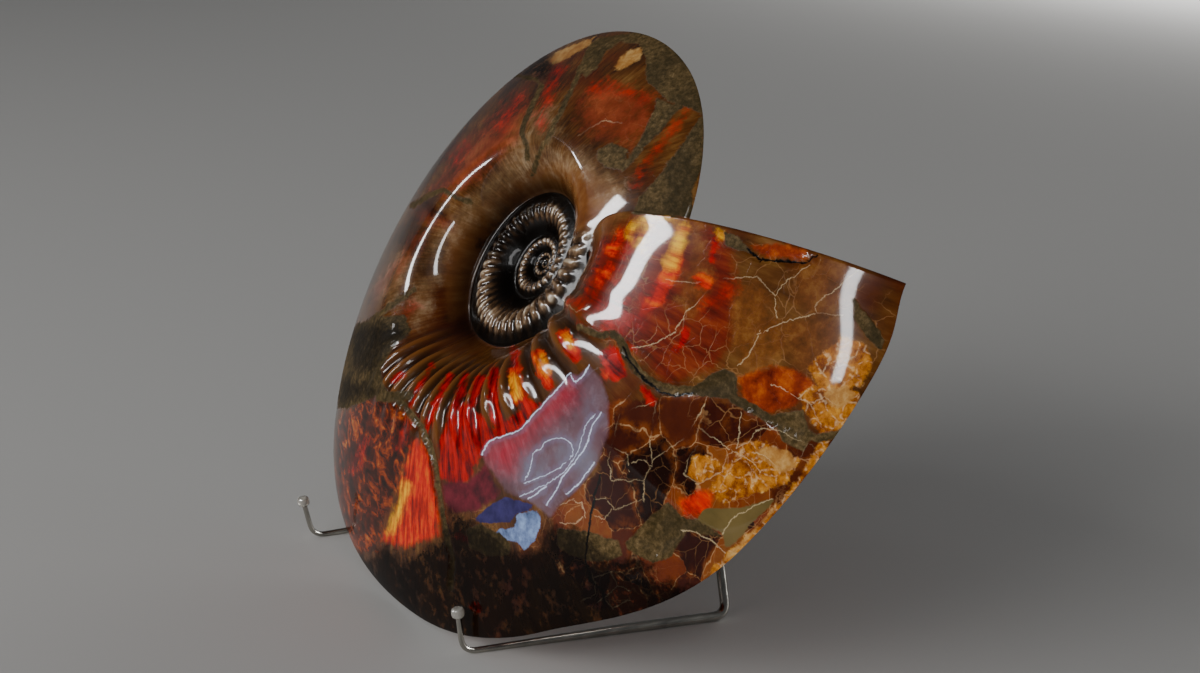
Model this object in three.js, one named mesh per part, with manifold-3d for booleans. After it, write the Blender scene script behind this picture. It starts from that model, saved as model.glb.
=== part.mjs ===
// Polished ammonite on a bent-wire display stand.
// Millimetres, +Z up, the exposed front flank of the shell faces -Y.
// The origin is on the ground, under the middle of the whole object.
import * as THREE from 'three';
import { mergeVertices } from 'three/addons/utils/BufferGeometryUtils.js';
import Module from 'manifold-3d';

const wasm = await Module();
wasm.setup();

// Shell: driving dimensions
const KEEL_RADIUS = 140; // coil axis to keel at the aperture
const WHORL_GROWTH = 0.89; // natural logarithm of the radius gained in one turn
const HALF_THICKNESS = 0.21; // all section sizes are shares of the keel radius at that turn
const CREST = 0.514; // where the whorl is thickest
const SEAM = 0.27; // where a whorl meets the one inside it
const LIP_COVER = 0.13; // share by which the last whorl covers more at the aperture
const LIP_TURNS = 0.08;
const FLANK_POWER = 1.3;
const KEEL_ROUNDING = 0.88;
const LIP_TRIM = 0.031; // the keel draws in at the aperture's edge
const LIP_TRIM_TURNS = 0.012;
const CHAMBER_FULLNESS = 0.014; // the body chamber stands out from an even spiral
const CHAMBER_END = [0.085, 0.17];
const FLAT_DEPTH = 0.077; // behind it the keel is pressed flatter
const FLAT_END = [0.25, 0.4];
const LAST_WHORL_SWELL = 0.061; // the last whorl is larger than the inner ones lead to expect
const SWELL_TURNS = [0.83, 1.02];
const GROWTH_LINE_BOW = THREE.MathUtils.degToRad(2.9);
const BOW_POWER = 0.62;
const BOW_FADE = [0.85, 1];

// Ribs on the umbilical slope
const RIBS_PER_TURN = 48;
const RIB_HEIGHT = 0.014;
const RIB_RISE = [0.29, 0.4]; // shares of the radius over which a rib rises and fades
const RIB_FADE = [0.5, 0.585];
const RIB_START = [0.03, 0.09]; // turns back from the aperture
const RIB_SMOOTH = [0.33, 0.4];
const RIB_AGAIN = [0.93, 1.05];
const SMOOTH_SHARE = 0.85; // how much of the ribs is lost where the shell is smooth

// Mesh of the shell
const STEPS_PER_TURN = 144;
const TURNS = 3;
const SLOPE_ROWS = 3; // seam to the line that the next whorl's lip reaches
const FLANK_ROWS = 3; // from there to the keel
const MIDDLE_SHARE = 0.5; // height of the coil's middle as a share of the innermost seam's

// Pose of the shell: where its axis is, how far it leans back, and which way the aperture points
const SHELL_CENTRE = new THREE.Vector3(-25.4, 10.4, 90.55);
const LEAN = THREE.MathUtils.degToRad(27.88);
const APERTURE_ANGLE = THREE.MathUtils.degToRad(11.4);

// Stand: wire bent in one piece
const WIRE_RADIUS = 1.35; // rear frame and the back of the arms
const TIP_RADIUS = 0.75; // the wire is drawn thinner towards the front
const TAPER_Y = [-38.4, 8.6];
const UNDERSIDE_FLAT = 0.12;
const WIRE_SIDES = 10;
const WIRE_STEPS = 96;
const BEND_RADIUS = 4;
const GROUND_WIDTH = 400; // block that cuts the underside flat
const GROUND_DEPTH = 10;
const ARM_FRONT = { near: [20.4, -37], far: [-71.7, -39] };
const ARM_REAR = { near: [31, 39.2], far: [-69.6, 39.2] };
const PRONG_HEIGHT = 10.5;
const PRONG_LEAN = { near: 1.6, far: 2.8 };
const APEX = new THREE.Vector3(-19.7, 42.3, 118);
const APEX_HALF_WIDTH = 7;

// Caps on the prongs
const CAP_RADIUS = 1.75;
const CAP_HEIGHT = 2.6;
const CAP_GAP = 0.3;
const CAP_PROFILE = [[0, 0], [0.8, 0], [1, 0.25], [1, 0.7], [0.7, 1], [0, 1]]; // shares of both
const CAP_SIDES = 16;
const MERGE_DISTANCE = 1e-4;

const materials = {
  shell: new THREE.MeshStandardMaterial({ color: 0x7a2a14, roughness: 0.25, metalness: 0.1 }),
  wire: new THREE.MeshStandardMaterial({ color: 0x8d8b85, roughness: 0.25, metalness: 1 }),
  cap: new THREE.MeshStandardMaterial({ color: 0xd8d6cc, roughness: 0.35, metalness: 0 }),
};

function smooth(value, [from, to]) {
  return THREE.MathUtils.smoothstep(value, from, to);
}

// Keel radius as a share of the one at the aperture; turns are counted back from the aperture.
function keelRadius(turns) {
  const trim = LIP_TRIM * Math.exp(-((turns / LIP_TRIM_TURNS) ** 2));
  const pressed = (CHAMBER_FULLNESS + FLAT_DEPTH) * smooth(turns, CHAMBER_END);
  const uneven = CHAMBER_FULLNESS - trim - pressed + FLAT_DEPTH * smooth(turns, FLAT_END);
  return Math.exp(-WHORL_GROWTH * turns + uneven - LAST_WHORL_SWELL * smooth(turns, SWELL_TURNS));
}

function seamShare(turns) {
  return SEAM * (1 - LIP_COVER * Math.exp(-turns / LIP_TURNS));
}

function flankHeight(share) {
  const outward = THREE.MathUtils.clamp((share - CREST) / (1 - CREST), 0, 1);
  return HALF_THICKNESS * (1 - outward ** FLANK_POWER) ** KEEL_ROUNDING;
}

// Share of the keel radius at which the next whorl's seam lies on this whorl.
function coveredFrom(turns) {
  return (seamShare(turns - 1) * keelRadius(turns - 1)) / keelRadius(turns);
}

function ribHeight(turns, share) {
  const round = 0.5 + 0.5 * Math.cos(2 * Math.PI * RIBS_PER_TURN * turns);
  const across = smooth(share, RIB_RISE) * (1 - smooth(share, RIB_FADE));
  const bare = smooth(turns, RIB_SMOOTH) - smooth(turns, RIB_AGAIN);
  return RIB_HEIGHT * round * across * smooth(turns, RIB_START) * (1 - SMOOTH_SHARE * bare);
}

function sectionHeight(turns, share) {
  if (share >= CREST) {
    return flankHeight(share) + ribHeight(turns, share);
  }
  const seam = seamShare(turns);
  const step = keelRadius(turns + 1) / keelRadius(turns);
  const seamHeight = flankHeight(coveredFrom(turns + 1)) * step;
  const slope = Math.sin((Math.PI / 2) * ((share - seam) / (CREST - seam)));
  return seamHeight + (HALF_THICKNESS - seamHeight) * slope + ribHeight(turns, share);
}

// Point of the shell in its own frame: the coil's axis is Z and the aperture points along +X.
function shellPoint(turns, share, side) {
  const radius = KEEL_RADIUS * keelRadius(turns);
  const across = (share - seamShare(turns)) / (1 - seamShare(turns));
  const bow = turns < 1 ? GROWTH_LINE_BOW * (1 - smooth(turns, BOW_FADE)) : 0;
  const angle = bow * Math.sin(Math.PI * Math.max(across, 0) ** BOW_POWER) - 2 * Math.PI * turns;
  const height = side * radius * sectionHeight(turns, share);
  return [radius * share * Math.cos(angle), radius * share * Math.sin(angle), height];
}

// The closed surface is a grid that winds inwards. Each row of points is shared by its neighbours:
// a seam belongs to the whorl that starts there and to the one that it covers.
function shellGeometry() {
  const positions = [];
  const triangles = [];
  const indexOf = new Map();
  const steps = STEPS_PER_TURN * TURNS;
  const lipShare = coveredFrom(1);
  const rows = SLOPE_ROWS + FLANK_ROWS;

  function vertex(key, point) {
    if (!indexOf.has(key)) {
      indexOf.set(key, positions.length / 3);
      positions.push(...point);
    }
    return indexOf.get(key);
  }

  function gridVertex(step, row, side) {
    const turns = step / STEPS_PER_TURN;
    if (row === rows) {
      return vertex(`keel ${step}`, shellPoint(turns, 1, 0));
    }
    if (row === SLOPE_ROWS && step >= STEPS_PER_TURN) {
      return gridVertex(step - STEPS_PER_TURN, 0, side);
    }
    const outer = step < STEPS_PER_TURN ? lipShare : coveredFrom(turns);
    const inner = seamShare(turns);
    const slopeShare = inner + (outer - inner) * (row / SLOPE_ROWS);
    const flankShare = lipShare + (1 - lipShare) * Math.sin((Math.PI / 2) * ((row - SLOPE_ROWS) / FLANK_ROWS));
    return vertex(`${step} ${row} ${side}`, shellPoint(turns, row > SLOPE_ROWS ? flankShare : slopeShare, side));
  }

  function triangle(a, b, c, side) {
    if (a === b || b === c || c === a) {
      return;
    }
    triangles.push(...(side > 0 ? [a, b, c] : [a, c, b]));
  }

  for (const side of [1, -1]) {
    for (let step = 0; step < steps; step += 1) {
      const lastRow = step < STEPS_PER_TURN ? rows : SLOPE_ROWS;
      for (let row = 0; row < lastRow; row += 1) {
        const a = gridVertex(step, row, side);
        const b = gridVertex(step, row + 1, side);
        const c = gridVertex(step + 1, row + 1, side);
        const d = gridVertex(step + 1, row, side);
        triangle(a, c, b, side);
        triangle(a, d, c, side);
      }
    }

    // Middle of the coil: a fan from the axis to the innermost seam
    const middleTurns = TURNS - 0.5;
    const rim = KEEL_RADIUS * keelRadius(middleTurns) * sectionHeight(middleTurns, seamShare(middleTurns));
    const middle = vertex(`middle ${side}`, [0, 0, side * rim * MIDDLE_SHARE]);
    for (let step = steps - STEPS_PER_TURN; step < steps; step += 1) {
      triangle(middle, gridVertex(step + 1, 0, side), gridVertex(step, 0, side), side);
    }
    for (let row = 0; row < SLOPE_ROWS; row += 1) {
      triangle(middle, gridVertex(steps, row + 1, side), gridVertex(steps, row, side), side);
    }

    // Half of the aperture face, between the last section and the whorl inside it
    for (let row = 0; row < rows; row += 1) {
      const innerA = gridVertex(STEPS_PER_TURN, Math.max(row, SLOPE_ROWS), side);
      const innerB = gridVertex(STEPS_PER_TURN, Math.max(row + 1, SLOPE_ROWS), side);
      const outerA = gridVertex(0, row, side);
      const outerB = gridVertex(0, row + 1, side);
      triangle(outerA, outerB, innerB, side);
      triangle(outerA, innerB, innerA, side);
    }
  }

  const geometry = new THREE.BufferGeometry();
  geometry.setAttribute('position', new THREE.Float32BufferAttribute(positions, 3));
  geometry.setIndex(triangles);
  geometry.computeVertexNormals();
  return geometry;
}

// The shell's own frame in the world: +X to the aperture, +Z out of the front flank.
function poseShell(mesh) {
  const front = new THREE.Vector3(0, -Math.cos(LEAN), Math.sin(LEAN));
  const upSlope = new THREE.Vector3(0, Math.sin(LEAN), Math.cos(LEAN));
  const right = new THREE.Vector3(1, 0, 0);
  const aperture = right.multiplyScalar(Math.cos(APERTURE_ANGLE)).addScaledVector(upSlope, Math.sin(APERTURE_ANGLE));
  const across = new THREE.Vector3().crossVectors(front, aperture);
  const matrix = new THREE.Matrix4().makeBasis(aperture, across, front);
  mesh.quaternion.setFromRotationMatrix(matrix);
  mesh.position.copy(SHELL_CENTRE);
}

function wireRadius(y) {
  const [from, to] = TAPER_Y;
  return THREE.MathUtils.lerp(TIP_RADIUS, WIRE_RADIUS, THREE.MathUtils.clamp((y - from) / (to - from), 0, 1));
}

// Height of the wire's middle where its underside lies flat on the ground.
function lyingHeight(y) {
  return wireRadius(y) - UNDERSIDE_FLAT;
}

// Points of one half of the wire: prong tip, front corner, end of the taper, rear corner and apex.
function halfWire(name) {
  const [frontX, frontY] = ARM_FRONT[name];
  const [rearX, rearY] = ARM_REAR[name];
  const middleY = TAPER_Y[1];
  const middleX = THREE.MathUtils.mapLinear(middleY, frontY, rearY, frontX, rearX);
  const toApex = name === 'near' ? APEX_HALF_WIDTH : -APEX_HALF_WIDTH;
  return [
    new THREE.Vector3(frontX, frontY - PRONG_LEAN[name], PRONG_HEIGHT),
    new THREE.Vector3(frontX, frontY, lyingHeight(frontY)),
    new THREE.Vector3(middleX, middleY, lyingHeight(middleY)),
    new THREE.Vector3(rearX, rearY, lyingHeight(rearY)),
    new THREE.Vector3(APEX.x + toApex, APEX.y, APEX.z),
  ];
}

// A path of straight stretches with round corners.
function roundedPath(points, radius) {
  const path = new THREE.CurvePath();
  let from = points[0];
  for (let i = 1; i < points.length - 1; i += 1) {
    const before = points[i - 1].clone().sub(points[i]).normalize();
    const after = points[i + 1].clone().sub(points[i]).normalize();
    const start = points[i].clone().addScaledVector(before, radius);
    const end = points[i].clone().addScaledVector(after, radius);
    path.add(new THREE.LineCurve3(from, start));
    path.add(new THREE.QuadraticBezierCurve3(start, points[i], end));
    from = end;
  }
  path.add(new THREE.LineCurve3(from, points[points.length - 1]));
  return path;
}

function toManifold(geometry) {
  const bare = geometry.clone();
  bare.deleteAttribute('normal');
  bare.deleteAttribute('uv');
  const merged = mergeVertices(bare, MERGE_DISTANCE);
  return new wasm.Manifold(
    new wasm.Mesh({
      numProp: 3,
      vertProperties: new Float32Array(merged.attributes.position.array),
      triVerts: new Uint32Array(merged.index.array),
    }),
  );
}

function toGeometry(manifold) {
  const mesh = manifold.getMesh();
  const geometry = new THREE.BufferGeometry();
  geometry.setAttribute('position', new THREE.BufferAttribute(mesh.vertProperties, 3));
  geometry.setIndex(new THREE.BufferAttribute(mesh.triVerts, 1));
  geometry.computeVertexNormals();
  return geometry;
}

// One tapered wire with its underside flattened where it lies on the ground.
function wireGeometry() {
  const near = halfWire('near');
  const far = halfWire('far').reverse();
  const path = roundedPath([...near, ...far], BEND_RADIUS);
  const section = new THREE.Shape();
  section.absarc(0, 0, WIRE_RADIUS, 0, 2 * Math.PI, false);
  const options = { steps: WIRE_STEPS, extrudePath: path, curveSegments: WIRE_SIDES / 2, bevelEnabled: false };
  const geometry = new THREE.ExtrudeGeometry(section, options);
  const centres = path.getSpacedPoints(WIRE_STEPS);
  const position = geometry.attributes.position;
  const point = new THREE.Vector3();
  for (let i = 0; i < position.count; i += 1) {
    point.fromBufferAttribute(position, i);
    const centre = centres.reduce((best, c) => (c.distanceTo(point) < best.distanceTo(point) ? c : best));
    point.sub(centre).multiplyScalar(wireRadius(centre.y) / WIRE_RADIUS).add(centre);
    position.setXYZ(i, point.x, point.y, point.z);
  }
  const below = new THREE.BoxGeometry(GROUND_WIDTH, GROUND_WIDTH, GROUND_DEPTH);
  below.translate(0, 0, -GROUND_DEPTH / 2);
  return toGeometry(toManifold(geometry).subtract(toManifold(below)));
}

function capGeometry() {
  const profile = CAP_PROFILE.map(([out, up]) => new THREE.Vector2(CAP_RADIUS * out, CAP_HEIGHT * up));
  const cap = new THREE.LatheGeometry(profile, CAP_SIDES);
  cap.rotateX(Math.PI / 2);
  return cap;
}

function named(name, geometry, material) {
  const mesh = new THREE.Mesh(geometry, material);
  mesh.name = name;
  return mesh;
}

const group = new THREE.Group();

const shell = named('ammonite', shellGeometry(), materials.shell);
poseShell(shell);
group.add(shell);

group.add(named('stand_wire', wireGeometry(), materials.wire));

for (const name of ['near', 'far']) {
  const [tip, corner] = halfWire(name);
  const along = tip.clone().sub(corner).normalize();
  const cap = named(`prong_cap_${name}`, capGeometry(), materials.cap);
  cap.quaternion.setFromUnitVectors(new THREE.Vector3(0, 0, 1), along);
  cap.position.copy(tip).addScaledVector(along, CAP_GAP);
  group.add(cap);
}

export default group;
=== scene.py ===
# %% [markdown]
# # A polished ammonite on a wire stand
#
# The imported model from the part's own source comes in first and fixes every size and place.
# Each visible piece is then built on it in metres, in the same frame: Z is up, and the
# exposed flank of the shell faces -Y.

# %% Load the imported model
import math

import bmesh
import bpy
import numpy as np
from mathutils import Matrix, Vector


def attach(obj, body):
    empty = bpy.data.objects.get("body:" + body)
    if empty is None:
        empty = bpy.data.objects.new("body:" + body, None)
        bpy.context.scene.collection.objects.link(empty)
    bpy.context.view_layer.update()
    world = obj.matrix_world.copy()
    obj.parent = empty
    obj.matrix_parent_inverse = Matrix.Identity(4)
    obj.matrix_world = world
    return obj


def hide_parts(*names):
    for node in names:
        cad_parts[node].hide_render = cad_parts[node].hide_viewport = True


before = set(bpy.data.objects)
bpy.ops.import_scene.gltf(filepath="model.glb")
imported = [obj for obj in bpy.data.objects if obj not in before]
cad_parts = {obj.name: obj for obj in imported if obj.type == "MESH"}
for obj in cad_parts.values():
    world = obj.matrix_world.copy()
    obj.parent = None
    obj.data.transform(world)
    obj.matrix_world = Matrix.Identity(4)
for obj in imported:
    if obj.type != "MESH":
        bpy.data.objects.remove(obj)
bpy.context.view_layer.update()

MM = 0.001

# %% [markdown]
# ## The camera
#
# The camera stands where the photograph was taken from: to the right of the shell, a little
# above it, and turned by three degrees. Its place is given from the middle of the shell's
# coil, so it stays right if the shell is moved. The same numbers later tell which point of
# the shell lies under a given point of the photograph.

# %% Camera
COIL_MIDDLE = Vector((-25.4, 10.4, 90.55)) * MM
CAMERA_OFFSET = Vector((447.54, -265.9, 118.93)) * MM
CAMERA_RIGHT = Vector((0.52454, 0.84988, 0.05055))
CAMERA_UP = Vector((-0.24617, 0.09456, 0.9646))
CAMERA_BACK = Vector((0.81502, -0.51842, 0.25882))
PHOTO_WIDTH = 1200
PHOTO_HEIGHT = 673
FOCAL_PIXELS = 1906.7
SENSOR = 36.0


def add_object(name, data):
    """A new object of the scene, at the origin and unturned."""
    item = bpy.data.objects.new(name, data)
    bpy.context.scene.collection.objects.link(item)
    return item


def make_camera():
    data = bpy.data.cameras.new("camera")
    data.sensor_width = SENSOR
    data.lens = FOCAL_PIXELS / PHOTO_WIDTH * SENSOR
    camera = add_object("camera", data)
    turn = Matrix((CAMERA_RIGHT, CAMERA_UP, CAMERA_BACK)).transposed().to_4x4()
    camera.matrix_world = Matrix.Translation(COIL_MIDDLE + CAMERA_OFFSET) @ turn
    bpy.context.scene.camera = camera
    return camera


camera = make_camera()
print("camera at", [round(v, 3) for v in camera.location], "lens", round(camera.data.lens, 1))

# %% [markdown]
# ## Sums with nodes
#
# Both Geometry Nodes and materials work out their values with Math nodes. Placing them one
# by one would hide the formulas, so a small class turns ordinary Python sums into nodes:
# every + or * on a `Field` adds one Math node and links it.


# %% Fields
class Field:
    """One value of a node tree, to be used in sums as a number is."""

    def __init__(self, tree, socket):
        self.tree = tree
        self.socket = socket

    def math(self, operation, *others, first=None):
        node = self.tree.nodes.new("ShaderNodeMath")
        node.operation = operation
        values = [self if first is None else first, *others]
        for value, socket in zip(values, node.inputs):
            plug(self.tree, socket, value)
        return Field(self.tree, node.outputs[0])

    def __add__(self, other):
        return self.math("ADD", other)

    def __radd__(self, other):
        return self.math("ADD", other)

    def __sub__(self, other):
        return self.math("SUBTRACT", other)

    def __rsub__(self, other):
        return self.math("SUBTRACT", self, first=other)

    def __mul__(self, other):
        return self.math("MULTIPLY", other)

    def __rmul__(self, other):
        return self.math("MULTIPLY", other)

    def __truediv__(self, other):
        return self.math("DIVIDE", other)

    def __pow__(self, other):
        return self.math("POWER", other)

    def __neg__(self):
        return self.math("MULTIPLY", -1.0)

    def __abs__(self):
        return self.math("ABSOLUTE")

    def exp(self):
        return self.math("EXPONENT")

    def sin(self):
        return self.math("SINE")

    def cos(self):
        return self.math("COSINE")

    def floor(self):
        return self.math("FLOOR")

    def above(self, limit):
        return self.math("GREATER_THAN", limit)

    def most(self, other):
        return self.math("MAXIMUM", other)

    def least(self, other):
        return self.math("MINIMUM", other)

    def smooth(self, start, end):
        node = self.tree.nodes.new("ShaderNodeMapRange")
        node.interpolation_type = "SMOOTHSTEP"
        plug(self.tree, node.inputs["Value"], self)
        node.inputs["From Min"].default_value = start
        node.inputs["From Max"].default_value = end
        return Field(self.tree, node.outputs[0])


def plug(tree, socket, value):
    """Links a field to a socket, or sets a plain number or colour on it."""
    if isinstance(value, Field):
        tree.links.new(value.socket, socket)
    else:
        socket.default_value = value


def blend(share, low, high):
    return low + (high - low) * share


class Numbers(np.ndarray):
    """Plain numbers that know the same sums as a field."""

    def exp(self):
        return np.exp(self)

    def sin(self):
        return np.sin(self)

    def cos(self):
        return np.cos(self)

    def above(self, limit):
        return (self > limit).astype(float).view(Numbers)

    def most(self, other):
        return np.maximum(self, other)

    def least(self, other):
        return np.minimum(self, other)

    def smooth(self, start, end):
        share = np.clip((self - start) / (end - start), 0, 1)
        return share * share * (3 - 2 * share)


def numbers(values):
    return np.atleast_1d(np.array(values, float)).view(Numbers)


# %% [markdown]
# ## The shape of the shell
#
# An ammonite grows as a logarithmic spiral: each turn back from the opening is smaller by the
# same factor. A point of the surface is therefore given by two numbers, how many turns it
# lies back from the opening and its share of the way from the coil's axis to the keel. The
# surface could be lofted by hand or swept along a curve, but the rule itself is short, so
# Geometry Nodes bends plain grids by it. The part's source has the same main constants. Only
# the finer things are added here: two more turns in the middle, ribs set wider apart and
# beaded on the inner turns, and a slightly more lens-shaped far half of the last turn. The lip
# of the opening is trimmed back a little, and only the back flank gets thinner there.

# %% Constants of the coil
KEEL_RADIUS = 140 * MM
WHORL_GROWTH = 0.89
HALF_THICKNESS = 0.21
CREST = 0.514
CREST_SHIFT = 0.062
CREST_INWARD = (0.36, 0.56)
CREST_BACK = (0.84, 0.98)
SEAM = 0.27
LIP_COVER = 0.13
LIP_TURNS = 0.08
FLANK_POWER = 1.3
FLANK_STRAIGHTENED = 0.17
KEEL_ROUNDING = 0.88
LIP_TRIM = 0.031
LIP_TRIM_TURNS = 0.012
CHAMBER_FULLNESS = 0.014
CHAMBER_END = (0.085, 0.17)
FLAT_DEPTH = 0.077
FLAT_END = (0.25, 0.4)
LAST_WHORL_SWELL = 0.061
SWELL_TURNS = (0.83, 1.02)
GROWTH_LINE_BOW = math.radians(2.9)
BOW_POWER = 0.62
BOW_FADE = (0.85, 1.0)
RIBS_PER_TURN = 48
RIB_HEIGHT = 0.014
RIB_RISE = (0.29, 0.4)
RIB_FADE = (0.48, 0.64)
RIB_START = (0.03, 0.09)
RIB_SMOOTH = (0.33, 0.4)
RIB_AGAIN = (0.93, 1.05)
RIB_SPREAD = 0.5
BEAD_HEIGHT = 0.015
BEAD_RISE = (0.36, 0.48)
BEAD_FADE = (0.52, 0.585)
LEAN = math.radians(27.88)
APERTURE_ANGLE = math.radians(11.4)
TINY = 1e-6


def keel_radius(turns, trim_share=1.0):
    """Keel radius as a share of the one at the opening. The trimmed lip counts by its share."""
    trim = (-((turns / LIP_TRIM_TURNS) ** 2)).exp() * (LIP_TRIM * trim_share)
    pressed = turns.smooth(*CHAMBER_END) * (CHAMBER_FULLNESS + FLAT_DEPTH)
    uneven = CHAMBER_FULLNESS - trim - pressed + turns.smooth(*FLAT_END) * FLAT_DEPTH
    return (turns * -WHORL_GROWTH + uneven - turns.smooth(*SWELL_TURNS) * LAST_WHORL_SWELL).exp()


def seam_share(turns):
    """Share of the radius at which the umbilical slope meets the whorl inside it."""
    return (1 - (turns / -LIP_TURNS).exp() * LIP_COVER) * SEAM


def far_half(turns):
    """1 on the far half of the last turn, where the whorl is a little more lens-shaped."""
    return turns.smooth(*CREST_INWARD) * (1 - turns.smooth(*CREST_BACK))


def flank_height(share, crest=CREST, power=FLANK_POWER):
    """Half the thickness from the crest, where it is greatest, out to the sharp keel."""
    outward = ((share - crest) / (1 - crest)).most(0.0).least(1.0)
    return (1 - outward**power).most(0.0) ** KEEL_ROUNDING * HALF_THICKNESS


def covered_from(turns):
    """Share of the radius at which the next whorl's seam lies on this whorl."""
    return seam_share(turns - 1) * keel_radius(turns - 1) / keel_radius(turns)


def rib_wave(turns):
    """One rib after another, wider apart on the inner turns."""
    inside = (turns - 1).most(0.0)
    count = turns.least(1.0) + (1 - (inside * -RIB_SPREAD).exp()) / RIB_SPREAD
    return (count * (2 * math.pi * RIBS_PER_TURN)).cos() * 0.5 + 0.5


def outer_ribs(turns, share):
    """How far the ribs of the last turn stand up, from 0 to 1."""
    across = share.smooth(*RIB_RISE) * (1 - share.smooth(*RIB_FADE))
    return across * turns.smooth(*RIB_START) * (1 - turns.smooth(*RIB_SMOOTH))


def rib_height(turns, share):
    beads = share.smooth(*BEAD_RISE) * (1 - share.smooth(*BEAD_FADE)) * BEAD_HEIGHT
    inside = turns.smooth(*RIB_AGAIN)
    return rib_wave(turns) * blend(inside, outer_ribs(turns, share) * RIB_HEIGHT, beads)


def section_height(turns, share, trim_share=0.0):
    """Half the thickness of the whorl: a sine over the umbilical slope, then the flank."""
    seam = seam_share(turns)
    lens = far_half(turns)
    crest = CREST - lens * CREST_SHIFT
    flank = flank_height(share, crest, FLANK_POWER - lens * FLANK_STRAIGHTENED)
    step = keel_radius(turns + 1) / keel_radius(turns, trim_share)
    seam_height = flank_height(covered_from(turns + 1)) * step
    slope = ((share - seam) / (crest - seam) * (math.pi / 2)).sin()
    inner = seam_height + (HALF_THICKNESS - seam_height) * slope
    height = blend(share.above(crest - TINY), inner, flank)
    return height + rib_height(turns, share)


LIP_SHARE = float(covered_from(numbers(1.0))[0])
print("the last whorl's lip lies at", round(LIP_SHARE, 3), "of the whorl inside it")

# %% [markdown]
# A node group keeps the long formula in one place. It takes turns, share and side (1 for the
# front flank, -1 for the back) and gives the point of the surface, with the coil's axis as Z
# and the opening towards +X.


# %% Node group for a point of the shell
def new_tree(name, inputs, outputs):
    tree = bpy.data.node_groups.new(name, "GeometryNodeTree")
    for label, kind in inputs:
        tree.interface.new_socket(label, in_out="INPUT", socket_type=kind)
    for label, kind in outputs:
        tree.interface.new_socket(label, in_out="OUTPUT", socket_type=kind)
    return tree, tree.nodes.new("NodeGroupInput"), tree.nodes.new("NodeGroupOutput")


def vector_of(tree, x, y, z):
    node = tree.nodes.new("ShaderNodeCombineXYZ")
    for value, socket in zip((x, y, z), node.inputs):
        plug(tree, socket, value)
    return Field(tree, node.outputs[0])


def make_point_group():
    names = ("Turns", "Share", "Side")
    tree, given, result = new_tree(
        "shell point",
        [(name, "NodeSocketFloat") for name in names],
        [("Position", "NodeSocketVector")],
    )
    turns, share, side = (Field(tree, given.outputs[name]) for name in names)
    seam = seam_share(turns)
    across = ((share - seam) / (1 - seam)).most(0.0)
    bow = (1 - turns.smooth(*BOW_FADE)) * GROWTH_LINE_BOW
    angle = bow * (across**BOW_POWER * math.pi).sin() - turns * (2 * math.pi)
    radius = keel_radius(turns) * KEEL_RADIUS
    trim_share = 0.5 - side * 0.5
    thickness = keel_radius(turns, trim_share) * (side * KEEL_RADIUS)
    height = section_height(turns, share, trim_share) * thickness
    point = vector_of(tree, radius * share * angle.cos(), radius * share * angle.sin(), height)
    tree.links.new(point.socket, result.inputs["Position"])
    return tree


point_group = make_point_group()
print("shell point:", len(point_group.nodes), "nodes")

# %% [markdown]
# The surface is closed, so it is made of grids that meet edge to edge: the umbilical slope and
# the flank of the last whorl, the strip that stays visible of the inner whorls, the face of
# the opening, and a small cap in the middle. Where a coarser grid meets a finer one, the
# points that are not needed are moved onto their neighbours, and Merge by Distance then joins
# them all. Columns are spaced so that they are as far apart near the middle as outside.

# %% Grid helpers
COLUMNS = 576
TURNS = 5
SLOPE_ROWS = {1: 32, -1: 14}
FLANK_ROWS = {1: 56, -1: 28}
FACE_COLUMNS = 16
FIRST_STEP = {1: 1, -1: 2}
INNER_ROW_STEP = {1: 2, -1: 1}
ROUNDING_GUARD = 0.25
LAST_STEP = {side: 2 ** (TURNS - 2) * step for side, step in FIRST_STEP.items()}
MIDDLE_SHARE = 0.5
MIDDLE_TURNS = numbers(TURNS - 0.5)
middle_section = section_height(MIDDLE_TURNS, seam_share(MIDDLE_TURNS))
middle_height = KEEL_RADIUS * float((keel_radius(MIDDLE_TURNS) * middle_section)[0]) * MIDDLE_SHARE
SHRINK = 1 - math.exp(-WHORL_GROWTH)
MERGE = 2e-6


def whole_steps(number, every):
    """How many whole steps of `every` fit in a whole number that may be off by a rounding error."""
    return ((number + ROUNDING_GUARD) / every).floor()


def position_parts(tree):
    """The x, y and z of each point."""
    place = tree.nodes.new("GeometryNodeInputPosition")
    parts = tree.nodes.new("ShaderNodeSeparateXYZ")
    tree.links.new(place.outputs[0], parts.inputs[0])
    return [Field(tree, output) for output in parts.outputs]


class Strip:
    """A grid whose points are moved by fields of its column u and row v, both from 0 to 1."""

    def __init__(self, tree, columns, rows):
        self.tree = tree
        self.columns = columns
        self.rows = rows
        self.grid = tree.nodes.new("GeometryNodeMeshGrid")
        self.grid.inputs["Size X"].default_value = 1.0
        self.grid.inputs["Size Y"].default_value = 1.0
        self.grid.inputs["Vertices X"].default_value = columns + 1
        self.grid.inputs["Vertices Y"].default_value = rows + 1
        x, y, _ = position_parts(tree)
        self.u = x + 0.5
        self.v = y + 0.5

    def column(self, every):
        """Column number, with those between each `every` moved back onto it."""
        return whole_steps(self.u * self.columns, every) * every

    def row(self, every):
        return whole_steps(self.v * self.rows, every) * every

    def last_row(self):
        """1 on the last row and 0 on the others."""
        return self.v.above(1 - 0.5 / self.rows)

    def finish(self, position, turns, share):
        """Moves the points, and keeps turns and share on the faces as a UV map."""
        tree = self.tree
        store = tree.nodes.new("GeometryNodeStoreNamedAttribute")
        store.data_type = "FLOAT2"
        store.domain = "CORNER"
        store.inputs["Name"].default_value = "coil"
        tree.links.new(self.grid.outputs["Mesh"], store.inputs["Geometry"])
        plug(tree, store.inputs["Value"], vector_of(tree, turns, share, 0.0))
        move = tree.nodes.new("GeometryNodeSetPosition")
        tree.links.new(store.outputs[0], move.inputs["Geometry"])
        plug(tree, move.inputs["Position"], position)
        return move.outputs[0]


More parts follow.
